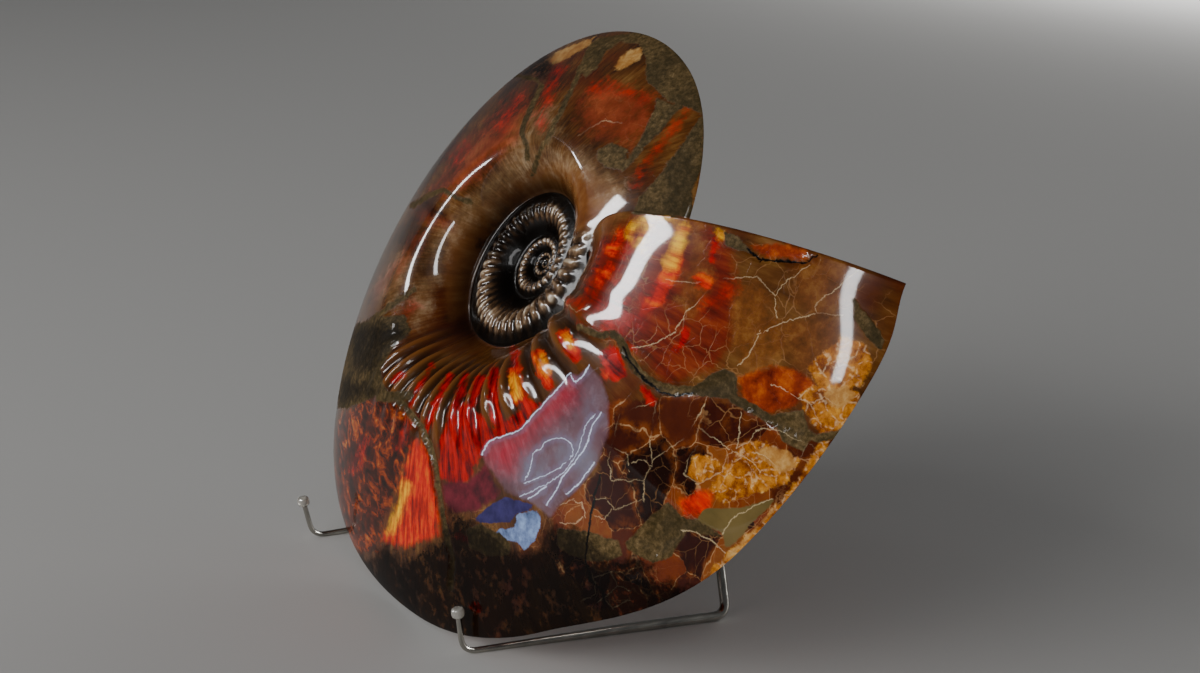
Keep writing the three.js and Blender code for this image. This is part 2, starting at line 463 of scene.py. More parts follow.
def shell_point(tree, turns, share, side):
    node = tree.nodes.new("GeometryNodeGroup")
    node.node_tree = point_group
    for name, value in (("Turns", turns), ("Share", share), ("Side", float(side))):
        plug(tree, node.inputs[name], value)
    return Field(tree, node.outputs[0])


def even_turns(columns_done):
    """Turns at a column count, spaced evenly along the coil and not round its axis."""
    whole = whole_steps(columns_done, COLUMNS)
    part = columns_done / COLUMNS - whole
    return whole + (1 - part * SHRINK).math("LOGARITHM", math.e) / -WHORL_GROWTH


def mix_points(tree, share, low, high):
    node = tree.nodes.new("ShaderNodeMix")
    node.data_type = "VECTOR"
    plug(tree, node.inputs["Factor"], share)
    tree.links.new(low.socket, node.inputs[4])
    tree.links.new(high.socket, node.inputs[5])
    return Field(tree, node.outputs[1])


# %% The strips of one side
def last_whorl_slope(tree, side):
    strip = Strip(tree, COLUMNS, SLOPE_ROWS[side])
    turns = even_turns(strip.column(FIRST_STEP[side]))
    share = blend(strip.v, seam_share(turns), LIP_SHARE)
    return [strip.finish(shell_point(tree, turns, share, side), turns, share)]


def last_whorl_flank(tree, side):
    strip = Strip(tree, COLUMNS, FLANK_ROWS[side])
    column = strip.column(1)
    if side < 0:
        column = blend(strip.last_row(), strip.column(FIRST_STEP[side]), column)
    turns = even_turns(column)
    share = blend((strip.v * (math.pi / 2)).sin(), LIP_SHARE, 1.0)
    return [strip.finish(shell_point(tree, turns, share, side), turns, share)]


def inner_whorls(tree, side):
    """The steps between the columns double from turn to turn, as the turns get smaller."""
    strip = Strip(tree, COLUMNS * (TURNS - 1), SLOPE_ROWS[side])
    whorl = whole_steps(strip.u * strip.columns, COLUMNS)
    doubling = (whorl - strip.last_row()).most(0.0)
    step = (doubling * math.log(2)).exp() * FIRST_STEP[side]
    column = strip.column(step)
    turns = even_turns(column + float(COLUMNS))
    row = strip.row(1)
    if side > 0:
        row = blend(column.above(0.5), row, strip.row(INNER_ROW_STEP[side]))
    share = blend(row / strip.rows, seam_share(turns), covered_from(turns))
    return [strip.finish(shell_point(tree, turns, share, side), turns, share)]


def opening_face(tree, side):
    """The filled opening, from the last section in to the whorl inside it."""
    slope = Strip(tree, FACE_COLUMNS, SLOPE_ROWS[side])
    flank = Strip(tree, FACE_COLUMNS, FLANK_ROWS[side])
    start = slope.u * 0.0
    share = blend(slope.v, seam_share(start), LIP_SHARE)
    outer = shell_point(tree, start, share, side)
    inner = shell_point(tree, start + 1.0, start + LIP_SHARE, side)
    faces = [slope.finish(mix_points(tree, slope.u, outer, inner), start - 1.0, share)]
    start = flank.u * 0.0
    share = blend((flank.v * (math.pi / 2)).sin(), LIP_SHARE, 1.0)
    outer = shell_point(tree, start, share, side)
    inner = shell_point(tree, start + 1.0, share, side)
    return [*faces, flank.finish(mix_points(tree, flank.u, outer, inner), start - 1.0, share)]


def middle_cap(tree, side):
    """A fan over the innermost turn, to the coil's axis."""
    centre = vector_of(tree, 0.0, 0.0, side * middle_height)
    rim = Strip(tree, COLUMNS, 1)
    turns = even_turns(rim.column(LAST_STEP[side]) + float(COLUMNS * (TURNS - 1)))
    edge = shell_point(tree, turns, seam_share(turns), side)
    end = Strip(tree, 1, SLOPE_ROWS[side])
    last = end.u * 0.0 + float(TURNS)
    row = end.row(INNER_ROW_STEP[side]) / end.rows
    share = blend(row, seam_share(last), covered_from(last))
    end_edge = shell_point(tree, last, share, side)
    return [
        rim.finish(mix_points(tree, rim.v, centre, edge), turns, turns * 0.0),
        end.finish(mix_points(tree, end.u, centre, end_edge), last, share),
    ]


# %% [markdown]
# The whole tree joins the strips of both sides, merges their edges and sets the pose: the
# coil leans back by 28 degrees and its opening points to the right and a little up.

# %% The shell's tree
SLOPE_UP = Vector((0, math.sin(LEAN), math.cos(LEAN)))
COIL_FRONT = Vector((0, -math.cos(LEAN), math.sin(LEAN)))
COIL_RIGHT = Vector((1, 0, 0)) * math.cos(APERTURE_ANGLE) + SLOPE_UP * math.sin(APERTURE_ANGLE)
COIL_ACROSS = COIL_FRONT.cross(COIL_RIGHT)
COIL_TURN = Matrix((COIL_RIGHT, COIL_ACROSS, COIL_FRONT)).transposed()


def end_tree(tree, given, result, steps):
    """Links the steps in a row, makes instances real and sets the material at the end."""
    realize = tree.nodes.new("GeometryNodeRealizeInstances")
    paint = tree.nodes.new("GeometryNodeSetMaterial")
    steps = (*steps, realize, paint)
    for step, following in zip(steps, steps[1:]):
        tree.links.new(step.outputs[0], following.inputs[0])
    tree.links.new(given.outputs["Material"], paint.inputs["Material"])
    tree.links.new(paint.outputs[0], result.inputs["Geometry"])


def make_shell_tree():
    inputs = [("Merge distance", "NodeSocketFloat"), ("Material", "NodeSocketMaterial")]
    tree, given, result = new_tree("ammonite", inputs, [("Geometry", "NodeSocketGeometry")])
    join = tree.nodes.new("GeometryNodeJoinGeometry")
    for side in (1, -1):
        for part in (last_whorl_slope, last_whorl_flank, inner_whorls, opening_face, middle_cap):
            for geometry in part(tree, side):
                tree.links.new(geometry, join.inputs[0])
    merge = tree.nodes.new("GeometryNodeMergeByDistance")
    pose = tree.nodes.new("GeometryNodeTransform")
    pose.inputs["Translation"].default_value = COIL_MIDDLE
    pose.inputs["Rotation"].default_value = COIL_TURN.to_euler()
    tree.links.new(given.outputs["Merge distance"], merge.inputs["Distance"])
    end_tree(tree, given, result, (join, merge, pose))
    return tree


def grow(name, tree, path=(), **inputs):
    """Runs a tree on a path, which may be empty, and gives a plain mesh object."""
    start = bpy.data.meshes.new(name + " seed")
    start.from_pydata(path, [(i, i + 1) for i in range(len(path) - 1)], [])
    seed = add_object(name + " seed", start)
    modifier = seed.modifiers.new("nodes", "NODES")
    modifier.node_group = tree
    sockets = {item.name: item.identifier for item in tree.interface.items_tree}
    for label, value in inputs.items():
        modifier[sockets[label.replace("_", " ").capitalize()]] = value
    graph = bpy.context.evaluated_depsgraph_get()
    mesh = bpy.data.meshes.new_from_object(seed.evaluated_get(graph), depsgraph=graph)
    bpy.data.objects.remove(seed)
    mesh.name = name
    return add_object(name, mesh)


shell_finish = bpy.data.materials.new("polished fossil shell")
shell = grow("ammonite_shell", make_shell_tree(), merge_distance=MERGE, material=shell_finish)

# %% [markdown]
# The grids of the two sides wind differently, so the normals of the closed, merged mesh are
# turned outwards once. Smooth shading follows.

# %% Normals
def face_outwards(mesh):
    work = bmesh.new()
    work.from_mesh(mesh)
    bmesh.ops.recalc_face_normals(work, faces=work.faces)
    volume = work.calc_volume(signed=True)
    if volume < 0:
        bmesh.ops.reverse_faces(work, faces=work.faces)
    open_edges = sum(1 for edge in work.edges if not edge.is_manifold)
    triangles = sum(len(face.verts) - 2 for face in work.faces)
    for face in work.faces:
        face.smooth = True
    work.to_mesh(mesh)
    work.free()
    return triangles, open_edges, abs(volume)


triangles, open_edges, volume = face_outwards(shell.data)
print("shell:", triangles, "triangles,", open_edges, "open edges,", round(volume * 1e6), "cm3")

# %% [markdown]
# ## Marks on the shell
#
# The polished shell is a patchwork: brown plates parted by stone-filled sutures, red and
# orange fire, a lilac window of mother-of-pearl, amber plates netted with cream cracks. None
# of it follows a rule, so each mark is drawn as an outline or a stroke in the picture plane
# of the camera. For each kind of mark every vertex keeps one number: how many picture points
# it lies inside the nearest such mark. The finish turns these distances into edges, and noise
# makes the edges ragged, so the marks stay sharp between vertices. A thin line is narrower than
# a face, so for lines each face keeps its place beside the nearest one.

# %% Drawing tools
FAR = 40.0


def photo_points(points):
    """Where points, in metres, appear in the photograph."""
    offset = points - np.array(COIL_MIDDLE + CAMERA_OFFSET)
    depth = offset @ -np.array(CAMERA_BACK)
    across = offset @ np.array(CAMERA_RIGHT) / depth
    upward = offset @ np.array(CAMERA_UP) / depth
    x = PHOTO_WIDTH / 2 + FOCAL_PIXELS * across
    return np.stack((x, PHOTO_HEIGHT / 2 - FOCAL_PIXELS * upward), 1)


def segment_distance(points, start, end):
    start, end = np.array(start, float), np.array(end, float)
    along = end - start
    length = max(np.hypot(*along), 1e-9)
    relative = points - start
    share = np.clip(relative @ along / length**2, 0, 1)
    return np.hypot(*(relative - share[:, None] * along).T)


def area(*outline):
    """A mark with an outline: how far inside it each point is."""

    def inside(points):
        distance = np.full(len(points), np.inf)
        within = np.zeros(len(points), bool)
        for start, end in zip(outline, outline[1:] + outline[:1]):
            distance = np.minimum(distance, segment_distance(points, start, end))
            crosses = (start[1] > points[:, 1]) != (end[1] > points[:, 1])
            rise = end[1] - start[1] or 1e-9
            cut = start[0] + (points[:, 1] - start[1]) * (end[0] - start[0]) / rise
            within ^= crosses & (points[:, 0] < cut)
        return np.where(within, distance, -distance)

    return inside


def stroke(width, *line):
    """A mark drawn with a brush of that width."""

    def inside(points):
        distance = np.full(len(points), np.inf)
        for start, end in zip(line, line[1:]):
            distance = np.minimum(distance, segment_distance(points, start, end))
        return width / 2 - distance

    return inside


def draw(points, marks):
    """The deepest value of several marks at each point."""
    value = np.full(len(points), -FAR)
    for mark in marks:
        value = np.maximum(value, mark(points))
    return np.minimum(value, FAR)


# %% [markdown]
# The marks follow, kind by kind, in picture points from the top left corner.

# %% Stone and dark marks
LONG_SUTURE = (
    (392, 396), (406, 408), (421, 427), (430, 446), (435, 468), (438, 492), (442, 516), (447, 540),
    (452, 559), (450, 588),
)
MIDDLE_SUTURE = ((627, 358), (639, 373), (656, 385), (673, 390), (692, 390), (710, 392))
RIGHT_SUTURE = ((736, 400), (757, 411), (776, 423), (800, 430))
STONE = [
    stroke(5, (412, 206), (432, 194), (444, 190), (456, 198), (470, 202)),
    stroke(4, (514, 75), (536, 79), (542, 86)),
    stroke(5, (541, 86), (532, 106), (524, 122), (522, 134), (527, 146), (528, 158)),
    stroke(5, (588, 52), (576, 80), (564, 104), (552, 130), (540, 150), (532, 176)),
    stroke(5, (414, 290), (390, 306), (372, 320)),
    area(
        (596, 38), (640, 32), (672, 36), (692, 50), (702, 84), (708, 116), (684, 106), (672, 104),
        (660, 92), (646, 80), (646, 58), (640, 44), (618, 42), (606, 52), (598, 66), (584, 80),
        (580, 64), (588, 48),
    ),
    area(
        (706, 114), (708, 142), (702, 170), (692, 190), (694, 218), (632, 214), (640, 196),
        (656, 180), (670, 160), (684, 140), (698, 118),
    ),
    area(
        (656, 98), (672, 104), (684, 106), (672, 116), (660, 132), (644, 148), (632, 164),
        (622, 172), (616, 166), (630, 156), (640, 140), (648, 124), (654, 108),
    ),
    area((598, 150), (612, 142), (628, 150), (622, 170), (606, 168), (596, 160)),
    area(
        (344, 353), (356, 324), (374, 318), (406, 314), (411, 331), (392, 348), (380, 370),
        (387, 396), (375, 396), (349, 408), (338, 408), (336, 377),
    ),
    stroke(10, (380, 397), (409, 396)),
    stroke(6, *LONG_SUTURE),
    stroke(7, (580, 327), (600, 336), (615, 334), (623, 344)),
    stroke(9, (622, 342), *MIDDLE_SUTURE),
    area((690, 388), (709, 375), (723, 368), (735, 373), (738, 402), (728, 400), (709, 396)),
    stroke(9, *RIGHT_SUTURE, (817, 438), (840, 434)),
    area(
        (630, 538), (650, 517), (667, 502), (675, 508), (679, 517), (697, 519), (722, 534),
        (718, 538), (688, 531), (679, 542), (671, 557), (652, 563), (635, 555), (624, 546),
    ),
    area((558, 528), (590, 532), (618, 540), (624, 556), (600, 562), (570, 556), (556, 544)),
    area((724, 231), (738, 236), (746, 246), (750, 252), (738, 250), (726, 246)),
    area((464, 530), (480, 524), (500, 533), (512, 545), (508, 555), (488, 556), (470, 548)),
    area((853, 298), (864, 312), (876, 326), (885, 340), (880, 350), (866, 338), (854, 318)),
    area((773, 414), (803, 410), (812, 438), (803, 452), (782, 442)),
]
HOLLOW = [
    stroke(4, *LONG_SUTURE),
    stroke(7, (623, 346), *MIDDLE_SUTURE),
    stroke(6, *RIGHT_SUTURE),
    area((695, 388), (709, 379), (723, 372), (732, 377), (734, 398), (724, 397), (709, 393)),
    stroke(3, (747, 248), (759, 259), (776, 260), (805, 262), (817, 254)),
    area((636, 538), (652, 521), (667, 508), (676, 519), (690, 524), (676, 540), (656, 556)),
]
# Dark marks. The large one over the lower part of the shell and the band along the navel's upper edge
# are painted shadow; the others are dark patches of the shell itself.
DARK = [
    area(
        (336, 562), (352, 548), (370, 558), (388, 544), (402, 560), (424, 548), (440, 540),
        (450, 508), (462, 514), (476, 526), (492, 530), (504, 546), (522, 554), (540, 544),
        (552, 526), (576, 528), (592, 548), (612, 562), (640, 574), (700, 590), (640, 660),
        (500, 680), (420, 660), (360, 620),
    ),
    area((348, 330), (372, 322), (400, 324), (404, 334), (384, 350), (372, 372), (352, 372)),
    area((340, 380), (352, 378), (372, 382), (376, 392), (350, 402), (338, 400)),
    area((480, 246), (500, 222), (520, 206), (548, 198), (544, 212), (520, 230), (496, 262)),
    area((516, 78), (530, 64), (546, 52), (553, 62), (546, 78), (530, 76)),
    area((428, 206), (446, 208), (448, 220), (430, 216)),
    area((600, 560), (640, 556), (660, 570), (620, 578)),
]
OLIVE = [
    area(
        (705, 508), (741, 508), (775, 498), (765, 512), (750, 525), (735, 543), (726, 548),
        (722, 534), (697, 519),
    ),
]
TAN = [
    area((548, 61), (558, 52), (572, 45), (596, 36), (588, 46), (570, 57), (553, 64)),
    area((613, 67), (619, 58), (630, 51), (642, 48), (640, 58), (628, 67), (618, 70)),
    stroke(2, (722, 563), (734, 551), (748, 537), (760, 524), (774, 510)),
    area((752, 450), (772, 446), (792, 452), (796, 466), (784, 474), (766, 462)),
    area((822, 392), (846, 386), (858, 396), (840, 408), (826, 404)),
]

# %% Fire, amber and mother-of-pearl
FIRE = [
    stroke(5, (432, 364), (420, 386), (409, 407)),
    stroke(6, (449, 376), (436, 404), (425, 432)),
    stroke(7, (466, 376), (456, 402), (450, 436)),
    stroke(8, (480, 378), (471, 403), (464, 446)),
    stroke(10, (494, 370), (492, 401), (500, 428)),
    stroke(10, (515, 352), (517, 384), (524, 404)),
    stroke(12, (539, 356), (548, 384)),
    stroke(14, (564, 338), (574, 356)),
    area(
        (438, 449), (446, 420), (456, 404), (466, 404), (480, 416), (495, 430), (507, 420),
        (531, 401), (540, 404), (519, 430), (498, 438), (484, 450), (474, 468), (469, 482),
        (454, 485), (440, 478),
    ),
    area((598, 352), (612, 346), (622, 352), (626, 376), (614, 382), (604, 372)),
    stroke(9, (645, 390), (652, 401)),
    stroke(3, (579, 398), (580, 420)),
    stroke(7, (687, 328), (684, 338), (677, 350)),
    stroke(6, (714, 232), (716, 244), (712, 260)),
    stroke(8, (460, 536), (468, 540)),
    stroke(6, (474, 606), (479, 608)),
    stroke(7, (394, 380), (402, 374)),
]
GLINT = [
    stroke(8, (559, 68), (550, 90), (543, 106), (540, 124)),
    stroke(9, (596, 88), (614, 86), (640, 96), (652, 104)),
    stroke(5, (690, 106), (672, 132), (652, 158), (636, 186)),
    stroke(16, (656, 286), (648, 304), (640, 322), (630, 342)),
    stroke(12, (736, 286), (720, 296), (704, 304)),
    area((568, 300), (600, 292), (628, 300), (640, 318), (630, 340), (600, 338), (580, 324)),
    stroke(16, (612, 250), (602, 276), (590, 296)),
    stroke(6, (395, 324), (402, 318), (416, 306)),
    stroke(6, (415, 420), (404, 432), (398, 446)),
    stroke(8, (366, 440), (356, 470)),
    stroke(16, (626, 240), (612, 262), (600, 284)),
    stroke(8, (452, 160), (466, 146)),
    stroke(9, (500, 128), (516, 100)),
]
FLARE = [
    area(
        (414, 437), (430, 458), (438, 499), (440, 535), (421, 542), (399, 547), (382, 540),
        (397, 516), (402, 482), (409, 454),
    ),
    stroke(8, (514, 370), (517, 400)),
    stroke(9, (538, 356), (546, 380)),
    stroke(9, (564, 336), (572, 350)),
    stroke(9, (620, 236), (612, 250)),
    stroke(9, (610, 268), (602, 278)),
    stroke(14, (676, 258), (664, 284), (655, 300)),
    stroke(12, (699, 280), (706, 284)),
    area((679, 502), (697, 491), (714, 493), (709, 512), (688, 517)),
    stroke(5, (604, 378), (606, 362)),
]
GOLD = [
    stroke(13, (683, 230), (678, 246), (669, 264)),
    stroke(5, (628, 236), (636, 224), (650, 216), (668, 216)),
    stroke(6, (650, 226), (640, 246)),
    stroke(6, (515, 378), (517, 396)),
    stroke(6, (541, 360), (546, 372)),
    stroke(6, (407, 484), (398, 512), (392, 530)),
    stroke(5, (566, 338), (570, 346)),
    stroke(5, (718, 232), (722, 236)),
]
GARNET = [
    area(
        (596, 240), (640, 216), (690, 220), (730, 236), (736, 290), (732, 340), (716, 372),
        (664, 384), (640, 352), (600, 330), (584, 290),
    ),
]
EMBER = [
    area((738, 378), (771, 366), (800, 371), (816, 387), (795, 406), (771, 413), (747, 408)),
    area((752, 246), (778, 243), (806, 250), (805, 259), (778, 257), (760, 256)),
]
AMBER = [
    area((686, 474), (697, 453), (718, 461), (722, 472), (697, 482)),
    area(
        (718, 476), (746, 444), (765, 440), (799, 459), (786, 484), (752, 493), (724, 504),
        (709, 491),
    ),
    area((796, 396), (815, 386), (842, 384), (862, 394), (852, 417), (840, 433), (820, 436)),
    stroke(8, (829, 433), (812, 466), (790, 497), (766, 523), (741, 548), (716, 570)),
    area((806, 366), (842, 338), (866, 344), (872, 364), (860, 386), (838, 384), (818, 384)),
]
TAWNY = [
    area(
        (733, 282), (759, 282), (776, 308), (790, 344), (771, 363), (757, 380), (738, 366),
        (733, 344),
    ),
    area((800, 262), (846, 262), (850, 300), (820, 320), (792, 300)),
    area((780, 322), (840, 318), (842, 372), (800, 372)),
    area((656, 210), (700, 222), (712, 290), (690, 320), (676, 300), (690, 250)),
]
BLUSH = [
    area(
        (432, 190), (452, 166), (476, 140), (500, 112), (524, 92), (530, 108), (516, 140),
        (494, 162), (470, 182), (446, 196),
    ),
    area((582, 100), (610, 84), (652, 98), (650, 124), (630, 146), (600, 140), (580, 124)),
    stroke(5, (420, 240), (406, 256), (390, 274), (378, 290)),
    stroke(12, (444, 222), (426, 214)),
]
MOTTLE = [
    area(
        (340, 415), (375, 396), (404, 408), (414, 437), (399, 482), (380, 526), (376, 552),
        (345, 552), (334, 487), (334, 434),
    ),
]
MAUVE = [
    area(
        (442, 482), (469, 482), (486, 464), (500, 490), (498, 497), (476, 511), (454, 514),
        (445, 502),
    ),
]
PEARL = [
    area(
        (481, 454), (488, 442), (498, 439), (519, 431), (536, 413), (550, 396), (560, 386),
        (570, 374), (579, 377), (589, 367), (601, 379), (608, 401), (608, 434), (597, 463),
        (576, 490), (560, 504), (550, 517), (543, 511), (531, 502), (507, 492), (498, 480),
        (488, 466),
    ),
]
PINK = [
    area(
        (484, 456), (498, 439), (519, 431), (536, 413), (556, 390), (570, 376), (574, 396),
        (556, 414), (534, 432), (520, 450), (510, 470), (496, 468),
    ),
]
NAVY = [
    area(
        (474, 521), (488, 506), (507, 497), (522, 502), (538, 506), (529, 511), (516, 514),
        (510, 523), (488, 523),
    ),
]
SKY = [
    area(
        (517, 514), (536, 509), (541, 516), (538, 530), (534, 542), (524, 550), (517, 542),
        (505, 540), (493, 533), (502, 528), (514, 528),
    ),
]
CRAZED = [
    area(
        (588, 244), (640, 214), (700, 220), (905, 290), (860, 410), (830, 436), (735, 400),
        (690, 390), (640, 375), (596, 335),
    ),
    area((582, 100), (620, 90), (652, 104), (640, 140), (600, 146), (576, 132)),
    area((442, 482), (486, 466), (550, 516), (600, 480), (620, 560), (560, 560), (460, 560)),
]
WEB = [
    area(
        (552, 512), (598, 470), (606, 404), (650, 398), (700, 395), (750, 410), (810, 440),
        (850, 440), (790, 520), (740, 570), (690, 596), (600, 600), (560, 570),
    ),
    area(
        (579, 593), (594, 574), (615, 570), (630, 583), (652, 587), (677, 589), (664, 608),
        (624, 614), (603, 610), (583, 604),
    ),
]
SLOPE = [
    area(
        (446, 300), (444, 262), (452, 232), (470, 214), (500, 190), (530, 172), (560, 160),
        (590, 170), (620, 190), (622, 214), (600, 236), (580, 250), (560, 226), (524, 214),
        (500, 240), (484, 270), (474, 310), (452, 322),
    ),
]
# Painted highlight: a pale wash along the crest and the slope round the navel.
CREST_GLARE = [
    stroke(30, (546, 126), (522, 160), (490, 200), (464, 220)),
    stroke(24, (556, 160), (586, 164), (612, 190)),
    stroke(18, (446, 232), (434, 262), (424, 292), (420, 318)),
    stroke(24, (400, 262), (388, 288)),
]

# %% Thin lines
CREAM_LINES = [
    ((578, 136), (590, 128), (604, 120), (622, 123)),
    ((858, 270), (841, 284), (826, 296), (816, 306), (817, 313), (843, 315)),
    ((817, 313), (790, 320), (771, 327), (756, 336)),
    ((757, 277), (774, 296), (776, 318)),
    ((810, 265), (788, 280), (774, 296)),
    ((666, 279), (694, 284), (716, 279), (757, 277)),
    ((716, 279), (697, 303), (685, 313), (675, 332), (656, 344), (632, 349)),
    ((738, 366), (752, 350), (760, 330)),
    ((611, 480), (609, 460), (613, 444), (620, 414), (637, 407), (656, 401)),
    ((656, 401), (650, 444), (652, 461), (667, 450), (688, 434), (705, 404)),
    ((609, 448), (626, 452), (628, 464), (645, 460), (652, 466), (643, 480), (611, 480)),
    ((643, 480), (643, 499), (615, 510)),
    ((697, 428), (699, 444), (688, 460), (684, 474), (697, 484), (722, 472)),
    ((699, 428), (722, 444), (735, 451), (728, 456), (722, 472)),
    ((741, 412), (738, 446), (748, 442), (756, 431), (765, 429), (782, 431)),
    ((782, 431), (790, 437), (807, 444), (799, 459)),
    ((740, 455), (752, 462), (760, 472)),
    ((752, 452), (766, 456), (776, 466), (790, 470)),
    ((560, 505), (572, 500), (581, 504), (584, 516), (574, 524), (560, 522)),
    ((594, 500), (606, 498), (613, 508), (604, 518), (594, 516)),
    ((773, 499), (752, 507), (732, 520), (722, 534)),
    ((581, 602), (596, 594), (594, 578), (610, 573), (618, 586), (630, 590)),
    ((618, 586), (604, 598), (612, 608), (630, 600)),
    ((679, 531), (697, 532), (712, 542), (726, 552)),
    ((829, 436), (818, 420), (812, 404), (824, 398), (836, 404), (848, 396)),
    ((812, 404), (800, 398), (806, 390)),
    ((563, 300), (576, 312), (588, 306)),
]
DARK_LINES = [
    ((600, 474), (594, 499), (590, 521), (586, 559), (590, 580), (603, 591), (605, 604)),
    ((747, 248), (759, 259), (776, 260), (805, 262), (817, 254)),
    ((622, 346), (628, 362), (642, 378), (656, 390), (676, 396), (692, 392)),
]
GLOW_LINES = [
    (
        (482, 455), (487, 443), (500, 437), (518, 431), (527, 422), (550, 396), (560, 386),
        (569, 375), (575, 381), (582, 376), (590, 365),
    ),
    ((601, 412), (591, 430), (586, 446), (574, 463), (562, 478), (555, 492), (546, 505)),
    ((594, 462), (580, 482), (566, 494)),
    ((546, 486), (536, 494), (528, 499)),
]
GLEAM_LINES = [
    (
        (524, 483), (530, 470), (534, 454), (540, 448), (548, 441), (560, 438), (570, 442),
        (573, 452), (565, 463), (552, 472), (540, 478), (524, 483),
    ),
    (
        (595, 414), (585, 427), (580, 446), (574, 457), (566, 470), (548, 483), (534, 490),
        (520, 497),
    ),
]
LINE_STEPS = 4


def curved(line):
    """The line as a smooth curve through its points."""
    smooth_line = [line[0]]
    padded = (line[0], *line, line[-1])
    for four in zip(padded, padded[1:], padded[2:], padded[3:]):
        before, start, end, after = (Vector(point) for point in four)
        for step in range(1, LINE_STEPS + 1):
            t = step / LINE_STEPS
            bend = (before - end) * -t * (1 - t) ** 2 + (after - start) * -(t**2) * (1 - t)
            rise = t * t * (3 - 2 * t)
            smooth_line.append(tuple(start.lerp(end, rise) + bend / 2))
    return tuple(smooth_line)


# %% [markdown]
# The front flank takes its marks straight from where the camera sees it. The photograph does
# not show the back flank, so it gets the same kinds of marks, turned a little way along the
# spiral: a turned and shrunk log spiral lies on itself, which keeps the marks in their rows.

# %% Keep the marks on the mesh
BACK_TURNS = 0.17


def drawing_points(points):
    local = (points - np.array(COIL_MIDDLE)) @ np.array(COIL_TURN)
    back = local[:, 2] < 0
    angle = 2 * math.pi * BACK_TURNS
    x = local[:, 0] * math.cos(angle) + local[:, 1] * math.sin(angle)
    y = local[:, 1] * math.cos(angle) - local[:, 0] * math.sin(angle)
    shrink = math.exp(-WHORL_GROWTH * BACK_TURNS)
    turned = np.stack((x, y, -local[:, 2]), 1) * shrink
    seen = np.where(back[:, None], turned, local) @ np.array(COIL_TURN).T
    return photo_points(seen + np.array(COIL_MIDDLE)), back


def vertex_array(mesh, normals=False):
    values = np.zeros(len(mesh.vertices) * 3)
    if normals:
        mesh.vertex_normals.foreach_get("vector", values)
    else:
        mesh.vertices.foreach_get("co", values)
    return values.reshape(-1, 3)


def keep(mesh, name, values, domain="POINT"):
    """Stores one number for each vertex, or for each corner of the faces."""
    attribute = mesh.attributes.new(name, "FLOAT", domain)
    attribute.data.foreach_set("value", values.astype(np.float32))


def keep_lines(mesh, name, drawn, lines):
    """Each face keeps the nearest line: how far its corners lie beside it and past its end."""
    corners = np.zeros(len(mesh.loops), np.int32)
    mesh.loops.foreach_get("vertex_index", corners)
    sizes = np.zeros(len(mesh.polygons), np.int32)
    mesh.polygons.foreach_get("loop_total", sizes)
    firsts = np.concatenate(([0], np.cumsum(sizes)[:-1]))
    middles = np.add.reduceat(drawn[corners], firsts) / sizes[:, None]
    segments = [
        (start, end, start == line[0], end == line[-1])
        for line in lines
        for start, end in zip(line, line[1:])
    ]
    distances = [segment_distance(middles, start, end) for start, end, *_ in segments]
    nearest = np.repeat(np.argmin(distances, 0), sizes)
    starts, ends, first, last = (np.array(values)[nearest] for values in zip(*segments))
    offset = drawn[corners] - starts
    lengths = np.hypot(*(ends - starts).T)
    along = (ends - starts) / lengths[:, None]
    side = offset[:, 0] * along[:, 1] - offset[:, 1] * along[:, 0]
    travel = (offset * along).sum(1)
    before = np.where(first, -travel, -FAR)
    after = np.where(last, travel - lengths, -FAR)
    keep(mesh, name + "_side", np.clip(side, -FAR, FAR), "CORNER")
    keep(mesh, name + "_past", np.clip(np.maximum(before, after), -FAR, FAR), "CORNER")


drawn, back = drawing_points(vertex_array(shell.data))
MARKS = {
    "stone": STONE, "dark": DARK, "olive": OLIVE, "tan": TAN, "fire": FIRE, "flare": FLARE,
    "gold": GOLD, "glint": GLINT, "garnet": GARNET, "ember": EMBER, "amber": AMBER,
    "tawny": TAWNY, "blush": BLUSH, "mottle": MOTTLE, "mauve": MAUVE, "web": WEB,
    "crazed": CRAZED, "slope": SLOPE, "pale": CREST_GLARE,
    "hollow": HOLLOW,
}
PEARL_MARKS = {"pearl": PEARL, "pink": PINK, "navy": NAVY, "sky": SKY}
for name, marks in MARKS.items():
    keep(shell.data, "mark_" + name, draw(drawn, marks))
for name, marks in PEARL_MARKS.items():
    keep(shell.data, "mark_" + name, np.where(back, -FAR, draw(drawn, marks)))
LINES = {
    "cream": CREAM_LINES, "crack": DARK_LINES, "glow": [curved(line) for line in GLOW_LINES],
    "gleam": [curved(line) for line in GLEAM_LINES],
}
for name, lines in LINES.items():
    keep_lines(shell.data, "line_" + name, drawn, lines)
print(len(MARKS) + len(PEARL_MARKS), "kinds of marks on", len(drawn), "vertices")

# %% [markdown]
# The stone that fills the wide sutures has weathered a little below the polished plates, so
# the vertices there sink along their normals.

# %% Sunken fissures
FISSURE_DEPTH = 0.9 * MM


def sink(mesh, depth):
    place = vertex_array(mesh)
    place -= vertex_array(mesh, normals=True) * depth[:, None]
    mesh.vertices.foreach_set("co", place.ravel())
    mesh.update()


hollow = draw(drawn, HOLLOW)
sunk = np.clip(hollow / 2 + 0.5, 0, 1)
sink(shell.data, FISSURE_DEPTH * sunk * sunk * (3 - 2 * sunk))
print("sunk", int((sunk > 0).sum()), "vertices by up to", FISSURE_DEPTH / MM, "mm")

# %% [markdown]
# ## The polished finish
#
# The finish starts from a mottled brown and lays the marks over it one after another, each
# with its own colours. Fossil nacre is seen through a hard polish, so the shell has a thin
# clear coat, which is weaker on the stone, in the fissures and in the dark hollows. Everything
# reads the piece's own coordinates or its stored marks.

# %% Finish helpers
def colour(code):
    """A colour from its usual six-figure code, in the linear values that Blender works with."""
    parts = [int(code[i : i + 2], 16) / 255 for i in (0, 2, 4)]
    return (*(p / 12.92 if p < 0.04045 else ((p + 0.055) / 1.055) ** 2.4 for p in parts), 1.0)


